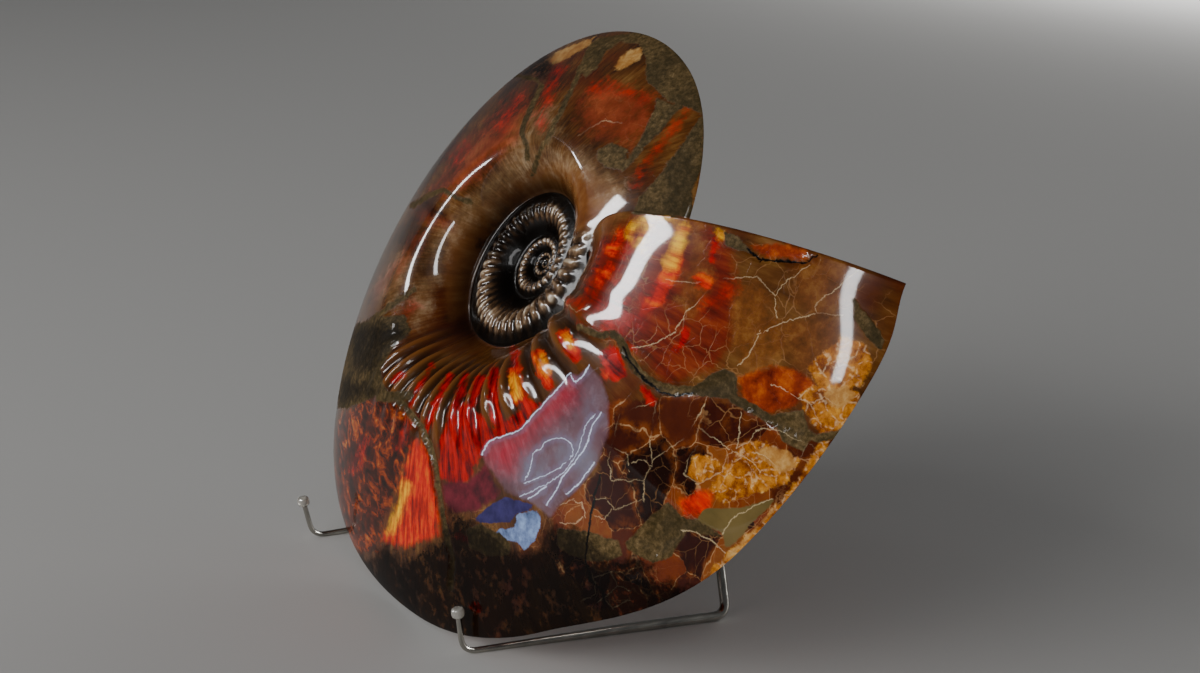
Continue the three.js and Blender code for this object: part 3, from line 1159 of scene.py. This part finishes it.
class Finish:
    """A material whose nodes are made by short calls."""

    def __init__(self, material):
        material.use_nodes = True
        self.tree = material.node_tree
        self.shader = self.tree.nodes["Principled BSDF"]
        coords = self.tree.nodes.new("ShaderNodeTexCoord")
        self.place = Field(self.tree, coords.outputs["Object"])

    def noise(self, scale, detail=4.0, rough=0.55, place=None, warp=0.0):
        node = self.tree.nodes.new("ShaderNodeTexNoise")
        plug(self.tree, node.inputs["Vector"], place or self.place)
        node.inputs["Scale"].default_value = scale
        node.inputs["Detail"].default_value = detail
        node.inputs["Roughness"].default_value = rough
        node.inputs["Distortion"].default_value = warp
        return Field(self.tree, node.outputs[0])

    def cells(self, scale, feature="DISTANCE_TO_EDGE", place=None, output=0):
        node = self.tree.nodes.new("ShaderNodeTexVoronoi")
        node.feature = feature
        plug(self.tree, node.inputs["Vector"], place or self.place)
        node.inputs["Scale"].default_value = scale
        return Field(self.tree, node.outputs[output])

    def stored(self, name):
        node = self.tree.nodes.new("ShaderNodeAttribute")
        node.attribute_name = name
        return Field(self.tree, node.outputs["Fac"])

    def mix(self, share, low, high):
        node = self.tree.nodes.new("ShaderNodeMix")
        node.data_type = "RGBA"
        plug(self.tree, node.inputs[0], share)
        plug(self.tree, node.inputs[6], low)
        plug(self.tree, node.inputs[7], high)
        return Field(self.tree, node.outputs[2])

    def shades(self, share, *stops):
        """A colour ramp through stops of (place, colour code)."""
        node = self.tree.nodes.new("ShaderNodeValToRGB")
        plug(self.tree, node.inputs[0], share)
        ramp = node.color_ramp
        while len(ramp.elements) < len(stops):
            ramp.elements.new(1.0)
        for element, (position, code) in zip(ramp.elements, stops):
            element.position = position
            element.color = colour(code)
        return Field(self.tree, node.outputs[0])

    def split(self, vector):
        node = self.tree.nodes.new("ShaderNodeSeparateXYZ")
        plug(self.tree, node.inputs[0], vector)
        return [Field(self.tree, output) for output in node.outputs]

    def stretch(self, vector, x, y, z):
        node = self.tree.nodes.new("ShaderNodeMapping")
        plug(self.tree, node.inputs["Vector"], vector)
        node.inputs["Scale"].default_value = (x, y, z)
        return Field(self.tree, node.outputs[0])

    def shift(self, vector, amount, scale):
        """The vector moved about by noise, in metres."""
        node = self.tree.nodes.new("ShaderNodeTexNoise")
        plug(self.tree, node.inputs["Vector"], vector)
        node.inputs["Scale"].default_value = scale
        step = self.vector_math("SUBTRACT", Field(self.tree, node.outputs["Color"]), (0.5,) * 3)
        return self.vector_math("ADD", vector, self.vector_math("SCALE", step, scale=amount))

    def vector_math(self, operation, *values, scale=None):
        node = self.tree.nodes.new("ShaderNodeVectorMath")
        node.operation = operation
        for value, socket in zip(values, node.inputs):
            plug(self.tree, socket, value)
        if scale is not None:
            plug(self.tree, node.inputs["Scale"], scale)
        return Field(self.tree, node.outputs[0])

    def uv(self, name):
        node = self.tree.nodes.new("ShaderNodeUVMap")
        node.uv_map = name
        return Field(self.tree, node.outputs[0])

    def surface(self, values):
        """Sets the shader's sockets, or links fields to them."""
        for name, value in values.items():
            plug(self.tree, self.shader.inputs[name], value)


# %% [markdown]
# The shell's patterns grow with it: fine lines run across the whorl as its ribs do. The piece's
# UV map holds turns and share, so noise that is squeezed along the turns and drawn out across
# them follows the ribs round the whole coil. A projected pattern would cut across them.

# %% The shell's own coordinates
COARSE = (60, 5.0)
RAGGED = (260, 5.0, 0.65)
FINE = (900, 3.0, 0.6)
STRIAE = (900, 9)
GLINTS = (260, 10)
PAST_END = (-0.5, 1.0)


class ShellFinish(Finish):
    """The shell's finish, with the noises and marks that its layers share.

    The layers also leave here what later ones need: ribs, deep, net, stone_tone, shadow, face.
    """

    def __init__(self, material):
        super().__init__(material)
        self.coarse = self.noise(*COARSE)
        self.ragged = self.noise(*RAGGED)
        self.fine = self.noise(*FINE)
        self.wobble = (self.ragged - 0.5) * 2.0 + (self.fine - 0.5) * 0.8
        self.coil = self.uv("coil")
        self.turns, self.share, _ = self.split(self.coil)
        self.striae = self.along_ribs(*STRIAE)
        self.glints = self.along_ribs(*GLINTS)
        self.stone = self.laid("stone", 4, 1.2)

    def along_ribs(self, across, along):
        """Noise drawn out along the growth lines."""
        return self.noise(1.0, 4.0, 0.6, place=self.stretch(self.coil, across, along, 1))

    def laid(self, name, rough, soft):
        """How far a kind of mark covers the surface, with a ragged edge."""
        return (self.stored("mark_" + name) + self.wobble * rough).smooth(-soft, soft)

    def lay(self, look, name, tone, rough, soft, share=1.0):
        """The look so far with one kind of mark laid over it in a tone."""
        return self.mix(self.laid(name, rough, soft) * share, look, tone)

    def drawn(self, name, width, soft, rough):
        """A thin line, cut off at its ends."""
        side = abs(self.stored("line_" + name + "_side") + self.wobble * rough)
        past = self.stored("line_" + name + "_past").smooth(*PAST_END)
        return (1 - side.smooth(width / 2, width / 2 + soft)) * (1 - past)


# %% [markdown]
# Under everything lie brown plates, redder in the last whorl's front part. Round the navel the
# slope is lighter, and a pale wash along the crest is a painted highlight. The hollows between
# the whorls are darkened with painted shade, and the beads in the navel get a painted highlight
# on top and painted shade on their sides. The ribs' tones read the same formulas that shaped the
# ribs, so that they stay on them, and are darker in the troughs: painted shade.

# %% Plates, slope and ribs
STRIA_BROWN = colour("9a6430")
REDDISH = colour("5c1408")
HOLLOW_SHADE_BROWN = colour("080503")
INNER_START = (0.955, 0.985)
BEAD_HIGHLIGHT = (0.32, 0.47)
BEAD_SHADE = (0.54, 0.62)
SEAM_SHADE = (0.28, 0.37)
SEAM_SHADE_TURNS = (0.15, 0.35)
INNER_VALLEY = (0.33, 0.41)
OUTER_VALLEY = (0.53, 0.58)
VALLEY_TURNS = (0.95, 1.0)


def brown_plates(work):
    look = work.shades(
        work.coarse * 0.6 + work.glints * 0.4,
        (0.3, "1c0e06"), (0.43, "3e220c"), (0.52, "583212"), (0.61, "704a20"), (0.7, "8a6638"),
    )
    reddish = work.noise(42, 4.0).smooth(0.5, 0.64) * 0.35
    look = work.mix(reddish, look, REDDISH)
    look = work.mix(work.striae.smooth(0.5, 0.8) * 0.1, look, STRIA_BROWN)
    garnet = work.shades(work.glints, (0.3, "4a0c06"), (0.5, "70180a"), (0.7, "8c3010"))
    return work.lay(look, "garnet", garnet, 12, 10, 0.85)


def slope_and_whorls(work, look):
    turns, share = work.turns, work.share
    slope = work.shades(
        work.along_ribs(50, 8) * 0.5 + work.coarse * 0.5,
        (0.35, "5c3014"), (0.5, "7a4820"), (0.65, "94683c"),
    )
    look = work.lay(look, "slope", slope, 6, 6, 0.85)
    # A pale cream wash along the crest round the navel: a painted highlight.
    pale = work.shades(
        work.glints * 0.15 + work.coarse * 0.45 + work.ragged * 0.4,
        (0.38, "5c3c20"), (0.5, "8c6e48"), (0.62, "ccb894"),
    )
    look = work.lay(look, "pale", pale, 14, 10, 0.42)
    wave = rib_wave(turns)
    work.ribs = outer_ribs(turns, share)
    # Painted shade: the ribs are darkened to near black in the troughs between them and are lighter on
    # their tops.
    rib_shade_tone = work.shades(wave, (0.0, "120a06"), (0.5, "3c2410"), (1.0, "76481e"))
    look = work.mix(work.ribs * 0.85, look, rib_shade_tone)
    # The navel's beads: uneven tones of their own, with a painted highlight on their tops and painted
    # shade down their sides.
    uneven = wave * 0.32 + work.noise(140, 4.0, 0.7) * 1.5 + work.glints * 0.5 - 0.72
    rounded = share.smooth(*BEAD_HIGHLIGHT) * (1 - share.smooth(*BEAD_SHADE) * 0.6)
    inner = work.shades(
        rounded * uneven,
        (0.0, "060403"), (0.2, "1a1008"), (0.4, "4a3420"), (0.58, "7c6248"), (0.8, "cabca4"),
    )
    look = work.mix(turns.smooth(*INNER_START), look, inner)
    # Painted shade: towards the seams between whorls and in the valleys between the inner whorls the
    # colour goes to near black.
    seam_shade = (1 - share.smooth(*SEAM_SHADE)) * turns.smooth(*SEAM_SHADE_TURNS)
    valley = (1 - share.smooth(*INNER_VALLEY)).most(share.smooth(*OUTER_VALLEY))
    work.deep = seam_shade.most(valley * turns.smooth(*VALLEY_TURNS))
    return work.mix(work.deep * 0.85, look, HOLLOW_SHADE_BROWN)


# %% [markdown]
# The lower part of the shell has cracked into small plates, and pale mineral fills the cracks.
# Voronoi cells give both from one pattern: each cell gets one tone, and the distance to its edge
# draws the net. Noise bends the cells first, so that their sides are not straight. Amber and
# ember patches lie on top where the outlines say.

# %% Netted plates and warm patches
PLATES_PER_METRE = 80
FINE_CELLS_PER_METRE = 190
CRYSTALS_PER_METRE = 300
WIDE_BEND = (9 * MM, 70)
FINE_BEND = (1.6 * MM, 500)
CRYSTAL_BEND = (3 * MM, 300)
LIT_EDGE = (0.0, 0.14)
WIDE_NET_LINE = (0.002, 0.016)
FINE_NET_LINE = (0.002, 0.03)
CRYSTAL_LINE = (0.0, 0.1)
FLECK_STRETCH = (70, 26, 1)
EDGE_BROWN = colour("8a4414")
NET_CREAM = colour("b89060")
FINE_NET_CREAM = colour("a87848")
CRYSTAL_CREAM = colour("ecd0a0")


def netted_plates(work, look):
    bent = work.shift(work.shift(work.place, *WIDE_BEND), *FINE_BEND)
    tone = work.split(work.cells(PLATES_PER_METRE, "F1", bent, 1))[0]
    plates = work.shades(
        tone * 0.7 + work.ragged * 0.3,
        (0.15, "1a0804"), (0.35, "340f07"), (0.55, "4e1e0c"), (0.75, "702e10"), (0.9, "84501e"),
    )
    area_share = work.laid("web", 8, 3)
    look = work.mix(area_share, look, plates)
    edge = work.cells(PLATES_PER_METRE, place=bent)
    lit = (1 - edge.smooth(*LIT_EDGE)) * work.ragged.smooth(0.4, 0.6)
    look = work.mix(area_share * lit * 0.55, look, EDGE_BROWN)
    wide_net = (1 - edge.smooth(*WIDE_NET_LINE)) * work.ragged.smooth(0.35, 0.65)
    fine_edge = work.cells(FINE_CELLS_PER_METRE, place=bent)
    fine_net = (1 - fine_edge.smooth(*FINE_NET_LINE)) * work.coarse.smooth(0.42, 0.6)
    fine_net = fine_net * work.laid("crazed", 8, 5).most(area_share)
    work.net = wide_net.most(fine_net * 0.6)
    look = work.mix(area_share * wide_net * 0.75, look, NET_CREAM)
    return work.mix(fine_net * 0.42, look, FINE_NET_CREAM)


def warm_patches(work, look):
    ragged = work.ragged
    tawny = work.shades(ragged, (0.3, "4c2a0e"), (0.5, "744018"), (0.7, "94622a"))
    look = work.lay(look, "tawny", tawny, 10, 8, 0.75)
    blush = work.shades(
        work.coarse * 0.5 + ragged * 0.5, (0.35, "5c2814"), (0.5, "88341e"), (0.62, "a84a2c")
    )
    look = work.lay(look, "blush", blush, 18, 10, 0.65)
    ember = work.shades(ragged, (0.3, "501004"), (0.5, "8a2c08"), (0.65, "b05010"), (0.8, "d08030"))
    look = work.lay(look, "ember", ember, 5, 3)
    amber = work.shades(
        ragged, (0.28, "4a1c04"), (0.42, "7c3c08"), (0.54, "b46e1e"), (0.66, "d49636"), (0.78, "e4c084")
    )
    amber_share = work.laid("amber", 6, 2)
    look = work.mix(amber_share, look, amber)
    crystals = work.cells(CRYSTALS_PER_METRE, place=work.shift(work.place, *CRYSTAL_BEND))
    crystal_net = (1 - crystals.smooth(*CRYSTAL_LINE)) * work.fine.smooth(0.4, 0.6)
    look = work.mix(amber_share * crystal_net * 0.45, look, CRYSTAL_CREAM)
    flecks = work.noise(1.0, 5.0, 0.6, place=work.stretch(work.coil, *FLECK_STRETCH), warp=1.2)
    mottled = work.shades(
        flecks * 0.7 + work.ragged * 0.3,
        (0.36, "140804"), (0.46, "3c1406"), (0.53, "60200a"), (0.6, "a0420c"), (0.68, "b87c34"),
    )
    return work.lay(look, "mottle", mottled, 10, 4)


# %% [markdown]
# Fire is where thin layers of nacre send back red, orange and gold. Real interference colours
# change with the viewer, which a plain material can't keep, so they are ramps here, drawn out
# along the ribs as the layers are. The lilac window shows bare mother-of-pearl, with the edges
# of its layers as thin bright lines, each with a faint sheen beside it.

# %% Fire and mother-of-pearl
PEARL_HAZE = colour("98909c")
SHEEN_BLUE = colour("8890b8")
GLOW_WHITE = colour("dce6ff")
# Width, softness and raggedness of the lines, in picture points.
GLOW_LINE = (0.2, 0.9, 3.0)
GLEAM_LINE = (0.0, 0.7, 4.0)
SHEEN_LINE = (2.0, 6.0, 4.0)


def fire_marks(work, look):
    fading = work.glints.smooth(0.3, 0.55)
    red = work.shades(
        work.glints * 0.7 + work.ragged * 0.3,
        (0.34, "180002"), (0.44, "660102"), (0.54, "ac0202"), (0.68, "d41404"),
    )
    soft_red = work.shades(work.ragged, (0.3, "5c0804"), (0.5, "900a04"), (0.7, "cc1806"))
    look = work.lay(look, "glint", soft_red, 12, 7, fading * 0.7)
    look = work.lay(look, "fire", red, 6, 2.5)
    flare = work.shades(
        work.glints * 0.65 + work.ragged * 0.35,
        (0.34, "380401"), (0.42, "a00600"), (0.52, "d42000"), (0.64, "dc6000"), (0.78, "b88000"),
    )
    look = work.lay(look, "flare", flare, 8, 4, fading * 0.4 + 0.6)
    gold = work.shades(work.glints, (0.35, "dc6400"), (0.6, "ffc800"))
    return work.lay(look, "gold", gold, 7, 5, fading * 0.3 + 0.7)


def pearl_window(work, look):
    mauve = work.shades(work.ragged, (0.3, "2c0c14"), (0.5, "5c1420"), (0.7, "741c2c"))
    look = work.lay(look, "mauve", mauve, 5, 3)
    inside = work.stored("mark_pearl")
    grey = work.shades(work.coarse, (0.35, "583a42"), (0.5, "6e525c"), (0.65, "706a7a"))
    rose = work.shades(work.glints, (0.3, "8c1024"), (0.5, "ac2438"), (0.7, "bc4858"))
    pearl = work.mix(work.laid("pink", 12, 18), grey, rose)
    pearl = work.mix(work.ragged.smooth(0.5, 0.7) * 0.2, pearl, PEARL_HAZE)
    look = work.lay(look, "pearl", pearl, 3, 2.5, 0.78 + inside.smooth(0, 14) * 0.16)
    navy = work.shades(work.ragged, (0.3, "1a1444"), (0.7, "383068"))
    look = work.lay(look, "navy", navy, 3, 0.8)
    sky = work.shades(work.ragged, (0.3, "405070"), (0.5, "7488b4"), (0.68, "98b4e0"))
    look = work.lay(look, "sky", sky, 4, 0.8)
    glow = work.drawn("glow", *GLOW_LINE).most(work.drawn("gleam", *GLEAM_LINE))
    sheen = work.drawn("glow", *SHEEN_LINE).most(work.drawn("gleam", *SHEEN_LINE))
    look = work.mix(sheen * inside.smooth(-3, 1) * 0.2, look, SHEEN_BLUE)
    glow = glow * inside.smooth(-5, -2) * (work.ragged.smooth(0.25, 0.5) * 0.5 + 0.5)
    return work.mix(glow, look, GLOW_WHITE)


# %% [markdown]
# Grey-brown stone fills the sutures and the opening. It is grained and dull, so the polish is
# taken off it at the end. Bump gives it its grit, because the grains are smaller than the faces
# of the mesh.

# %% Stone, cracks and shade
STONE_SHADE = colour("2a2414")
LINE_CREAM = colour("dcc498")
CRACK_BROWN = colour("080604")
DARK_AND_SHADE_BROWN = colour("060302")
STONE_GRAINS = (700, 5.0, 0.7)
CREAM_LINE = (0.0, 0.9, 4.5)
CRACK_LINE = (1.0, 1.2, 4.0)
OPENING_TURNS = (-0.6, -0.4)
POLISHED = 0.22
STONE_ROUGHNESS = 0.6
CLEAR_COAT = 0.6
DULL_COAT = 0.08
SUTURE_EDGE = (-5, -1)
GRIT_DEPTH = 0.4 * MM
GRIT_STRENGTH = 0.5
COAT_ROUGHNESS = 0.05
COAT_IOR = 1.36
SHINE_UNDER_COAT = 0.03


def stone_and_windows(work, look):
    grain = work.noise(*STONE_GRAINS)
    stone = work.shades(grain, (0.25, "2a2010"), (0.45, "4a3c22"), (0.6, "665234"), (0.8, "94805a"))
    work.stone_tone = work.mix(work.coarse.smooth(0.42, 0.62) * 0.55, stone, STONE_SHADE)
    look = work.mix(work.stone, look, work.stone_tone)
    olive = work.shades(work.coarse, (0.35, "4c4020"), (0.65, "6e5c34"))
    look = work.lay(look, "olive", olive, 3, 1)
    tan = work.shades(work.ragged, (0.3, "8c5424"), (0.5, "b07c3c"), (0.7, "d0a868"))
    return work.lay(look, "tan", tan, 4, 1.5, 0.92)


def cracks_and_shade(work, look):
    cream = work.drawn("cream", *CREAM_LINE) * work.coarse.smooth(0.36, 0.58)
    look = work.mix(cream * 0.55, look, LINE_CREAM)
    look = work.mix(work.drawn("crack", *CRACK_LINE), look, CRACK_BROWN)
    # Dark marks: painted shadow over the lower part of the shell and at the navel's upper edge, and a
    # few dark patches of the shell itself.
    dark_and_shade = work.laid("dark", 20, 8) * (1 - work.ragged.smooth(0.52, 0.7) * 0.4)
    look = work.mix(dark_and_shade * (0.95 - work.stone * 0.15), look, DARK_AND_SHADE_BROWN)
    work.shadow = dark_and_shade
    work.face = 1 - work.turns.smooth(*OPENING_TURNS)
    return work.mix(work.face, look, work.stone_tone)


def polish(work, look):
    dull = work.stone.most(work.face)
    edges = work.stored("mark_hollow").smooth(*SUTURE_EDGE)
    unpolished = dull.most(work.shadow * 0.9).most(work.deep).most(edges).most(work.ribs * 0.75)
    bump = work.tree.nodes.new("ShaderNodeBump")
    bump.inputs["Strength"].default_value = GRIT_STRENGTH
    bump.inputs["Distance"].default_value = GRIT_DEPTH
    height = work.fine * dull * 0.8 + work.striae * 0.1 - work.net * 0.12
    plug(work.tree, bump.inputs["Height"], height)
    work.surface({
        "Base Color": look,
        "Roughness": blend(dull, POLISHED, STONE_ROUGHNESS),
        "Coat Weight": blend(unpolished, CLEAR_COAT, DULL_COAT),
        "Coat Roughness": COAT_ROUGHNESS,
        "Coat IOR": COAT_IOR,
        "Specular IOR Level": SHINE_UNDER_COAT,
        "Normal": Field(work.tree, bump.outputs[0]),
    })


# %% [markdown]
# The layers go on in the order in which they would hide each other, and the polish comes last.

# %% Paint the shell
def paint_shell():
    work = ShellFinish(shell_finish)
    look = brown_plates(work)
    layers = (
        slope_and_whorls, netted_plates, warm_patches, fire_marks, pearl_window, stone_and_windows,
        cracks_and_shade,
    )
    for layer in layers:
        look = layer(work, look)
    polish(work, look)
    return len(work.tree.nodes)


print("shell finish:", paint_shell(), "nodes")

# %% [markdown]
# ## The stand
#
# One steel wire makes the whole stand. It is bent: two short prongs in front hold the keel,
# two arms lie on the ground and an inverted V stands behind. It was drawn thinner towards the
# prongs, and its underside is filed flat where it lies. A tube swept along the bent path is
# the plain way to make it; the taper and the flat are rules of height and depth.

# %% The wire's path
WIRE_RADIUS = 1.35 * MM
TIP_RADIUS = 0.75 * MM
TAPER_Y = (-38.4 * MM, 8.6 * MM)
UNDERSIDE_FLAT = 0.12 * MM
BEND_RADIUS = 4 * MM
BEND_STEPS = 10
ARM_FRONT = {"near": (20.4 * MM, -37 * MM), "far": (-71.7 * MM, -39 * MM)}
ARM_REAR = {"near": (31 * MM, 39.2 * MM), "far": (-69.6 * MM, 39.2 * MM)}
PRONG_HEIGHT = 10.5 * MM
PRONG_LEAN = {"near": 1.6 * MM, "far": 2.8 * MM}
APEX = Vector((-19.7, 42.3, 118)) * MM
APEX_HALF_WIDTH = {"near": 7 * MM, "far": -7 * MM}
WIRE_SIDES = 20


def wire_radius(y):
    """Thin in front of the taper, full thickness behind it."""
    share = ((y - TAPER_Y[0]) / (TAPER_Y[1] - TAPER_Y[0])).most(0.0).least(1.0)
    return blend(share, TIP_RADIUS, WIRE_RADIUS)


def lying_height(y):
    return float(wire_radius(numbers(y))[0]) - UNDERSIDE_FLAT


def half_wire(name):
    """Prong tip, front corner, end of the taper, rear corner and apex."""
    front = Vector((*ARM_FRONT[name], lying_height(ARM_FRONT[name][1])))
    rear = Vector((*ARM_REAR[name], lying_height(ARM_REAR[name][1])))
    middle = front.lerp(rear, (TAPER_Y[1] - front.y) / (rear.y - front.y))
    middle.z = lying_height(TAPER_Y[1])
    tip = Vector((front.x, front.y - PRONG_LEAN[name], PRONG_HEIGHT))
    return [tip, front, middle, rear, APEX + Vector((APEX_HALF_WIDTH[name], 0, 0))]


def bent(points):
    """The path with its corners rounded."""
    path = [points[0]]
    for before, corner, after in zip(points, points[1:], points[2:]):
        start = corner + (before - corner).normalized() * BEND_RADIUS
        end = corner + (after - corner).normalized() * BEND_RADIUS
        for step in range(BEND_STEPS + 1):
            share = step / BEND_STEPS
            path.append(start.lerp(corner, share).lerp(corner.lerp(end, share), share))
    return [*path, points[-1]]


wire_path = bent([*half_wire("near"), *reversed(half_wire("far"))])
print("wire path:", len(wire_path), "points")

# %% The wire and its tree
def make_wire_tree():
    inputs = [
        ("Path", "NodeSocketGeometry"), ("Sides", "NodeSocketInt"), ("Material", "NodeSocketMaterial")
    ]
    tree, given, result = new_tree("stand wire", inputs, [("Geometry", "NodeSocketGeometry")])
    x, y, z = position_parts(tree)
    curve = tree.nodes.new("GeometryNodeMeshToCurve")
    ring = tree.nodes.new("GeometryNodeCurvePrimitiveCircle")
    ring.inputs["Radius"].default_value = 1.0
    tube = tree.nodes.new("GeometryNodeCurveToMesh")
    tube.inputs["Fill Caps"].default_value = True
    flat = tree.nodes.new("GeometryNodeSetPosition")
    tree.links.new(given.outputs["Path"], curve.inputs[0])
    tree.links.new(given.outputs["Sides"], ring.inputs["Resolution"])
    tree.links.new(ring.outputs["Curve"], tube.inputs["Profile Curve"])
    plug(tree, tube.inputs["Scale"], wire_radius(y))
    plug(tree, flat.inputs["Position"], vector_of(tree, x, y, z.most(0.0)))
    end_tree(tree, given, result, (curve, tube, flat))
    return tree


wire_finish = bpy.data.materials.new("polished steel wire")
wire = grow("wire", make_wire_tree(), wire_path, sides=WIRE_SIDES, material=wire_finish)
triangles, open_edges, volume = face_outwards(wire.data)
print("wire:", triangles, "triangles,", open_edges, "open edges")

# %% [markdown]
# The two prong tips wear small clear caps, pushed on so that the steel does not scratch the
# shell. Each is a turned bead with a rounded rim.

# %% Prong caps
CAP_RADIUS = 1.75 * MM
CAP_HEIGHT = 2.6 * MM
CAP_GAP = 0.3 * MM
CAP_PROFILE = (
    (0, 0), (0.72, 0), (0.88, 0.07), (0.97, 0.18), (1, 0.32), (1, 0.66), (0.95, 0.8), (0.85, 0.91),
    (0.7, 0.98), (0.4, 1), (0, 1),
)
CAP_SIDES = 32


def turned_cap(name, tip, along):
    """A bead turned round its axis, standing on the tip of a prong."""
    upright = along.to_track_quat("Z", "Y").to_matrix()
    rings = CAP_PROFILE[1:-1]
    points = []
    for out, up in rings:
        for side in range(CAP_SIDES):
            angle = 2 * math.pi * side / CAP_SIDES
            reach = CAP_RADIUS * out
            points.append(Vector((reach * math.cos(angle), reach * math.sin(angle), CAP_HEIGHT * up)))
    faces = [tuple(reversed(range(CAP_SIDES)))]
    for ring in range(len(rings) - 1):
        for side in range(CAP_SIDES):
            following = (side + 1) % CAP_SIDES
            low, high = ring * CAP_SIDES, (ring + 1) * CAP_SIDES
            faces.append((low + side, low + following, high + following, high + side))
    faces.append(tuple(range(len(points) - CAP_SIDES, len(points))))
    foot = tip + along * CAP_GAP
    mesh = bpy.data.meshes.new(name)
    mesh.from_pydata([foot + upright @ point for point in points], [], faces)
    mesh.materials.append(cap_finish)
    face_outwards(mesh)
    return add_object(name, mesh)


cap_finish = bpy.data.materials.new("clear cap")
caps = {}
for name in ("near", "far"):
    tip, corner = half_wire(name)[:2]
    caps[name] = turned_cap("cap_" + name, tip, (tip - corner).normalized())
print("caps:", [piece.name for piece in caps.values()])


# %% [markdown]
# Drawn steel keeps faint marks of the die along its length, so its tone and roughness follow a
# drawn-out noise. The caps are slightly cloudy, half clear plastic.

# %% Finish of the stand
DRAWN_OUT = (900, 120, 120)
CLOUDS_PER_METRE = 600


def finish_wire():
    work = Finish(wire_finish)
    die_marks = work.noise(1.0, 3.0, 0.6, place=work.stretch(work.place, *DRAWN_OUT))
    work.surface({
        "Metallic": 1.0,
        "Base Color": work.shades(die_marks, (0.3, "8c8a84"), (0.7, "b8b4aa")),
        "Roughness": blend(die_marks, 0.14, 0.3),
    })


def finish_caps():
    work = Finish(cap_finish)
    cloud = work.noise(CLOUDS_PER_METRE, 3.0)
    work.surface({
        "Base Color": work.shades(cloud, (0.3, "b4b0a6"), (0.7, "d0ccc4")),
        "Roughness": blend(cloud, 0.1, 0.25),
        "Transmission Weight": 0.55,
        "Coat Weight": 0.6,
    })


finish_wire()
finish_caps()

# %% [markdown]
# Each piece now stands in for its node of the imported model and moves with that node's body.
# The stand and the shell never move against each other, so there is only the one body, root.

# %% Pieces and their nodes
FITTINGS = (
    (shell, "ammonite", "shell"),
    (wire, "stand_wire", "wire"),
    (caps["near"], "prong_cap_near", "cap"),
    (caps["far"], "prong_cap_far", "cap"),
)
for piece, node, slot in FITTINGS:
    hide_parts(node)
    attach(piece, "root")

# %% [markdown]
# ## Floor and light
#
# A shell this glossy shows its lights as much as its colours. The photograph's bright streaks
# say where its lamps were, so soft boxes stand there that only show in the polish: a tall one
# far to the left, whose reflection runs down the last whorl beside its seam, one higher and
# nearer to the camera, for the edge of the opening and the crest on the left, a small one
# farther left, for the spot above the navel, and one behind for the back flank. Two broad
# fills, farther off, light the colours and do not show in the polish. The room is kept dim, so
# the colours stay deep.

# %% Floor and light
FLOOR_SIDE = 6.0
FLOOR_COLOUR = (0.55, 0.54, 0.52, 1)
FLOOR_ROUGHNESS = 0.7
ROOM_COLOUR = (0.85, 0.87, 0.9, 1)
ROOM_STRENGTH = 0.11
BOX_DISTANCE = 1.1
FILL_DISTANCE = 2.6
# Name, direction from the coil's middle, width, height, power, and whether it is mirrored.
SOFT_BOXES = (
    ("left soft box", (-0.35, -0.79, 0.46), 0.11, 0.66, 22.0, True),
    ("front soft box", (0.335, -0.75, 0.6), 0.055, 0.62, 6.4, True),
    ("small soft box", (-0.63, -0.5, 0.6), 0.1, 0.08, 2.2, True),
    ("back soft box", (0.5, 0.8, 0.3), 0.12, 0.5, 12.0, True),
    ("front fill", (0.12, -0.93, 0.3), 2.1, 1.4, 62.0, False),
    ("back fill", (-0.3, 0.95, 0.1), 2.4, 0.5, 30.0, False),
)


def make_floor():
    mesh = bpy.data.meshes.new("floor")
    half = FLOOR_SIDE / 2
    corners = [(-half, -half, 0), (half, -half, 0), (half, half, 0), (-half, half, 0)]
    mesh.from_pydata(corners, [], [(0, 1, 2, 3)])
    material = bpy.data.materials.new("pale floor")
    material.use_nodes = True
    shader = material.node_tree.nodes["Principled BSDF"]
    shader.inputs["Base Color"].default_value = FLOOR_COLOUR
    shader.inputs["Roughness"].default_value = FLOOR_ROUGHNESS
    mesh.materials.append(material)
    add_object("floor", mesh)


def make_box(name, direction, width, height, power, mirrored):
    """A soft box that either shows in the polish or lights the colours, so each can be set."""
    data = bpy.data.lights.new(name, "AREA")
    data.shape = "RECTANGLE"
    data.size, data.size_y = width, height
    data.energy = power
    light = add_object(name, data)
    light.visible_camera = False
    light.visible_glossy = mirrored
    light.visible_diffuse = not mirrored
    distance = BOX_DISTANCE if mirrored else FILL_DISTANCE
    light.location = COIL_MIDDLE + Vector(direction).normalized() * distance
    light.rotation_euler = (COIL_MIDDLE - light.location).to_track_quat("-Z", "Y").to_euler()


def make_room():
    world = bpy.data.worlds.new("studio")
    world.use_nodes = True
    background = world.node_tree.nodes["Background"]
    background.inputs["Color"].default_value = ROOM_COLOUR
    background.inputs["Strength"].default_value = ROOM_STRENGTH
    bpy.context.scene.world = world


make_floor()
for box in SOFT_BOXES:
    make_box(*box)
make_room()
print(len(SOFT_BOXES), "lights")
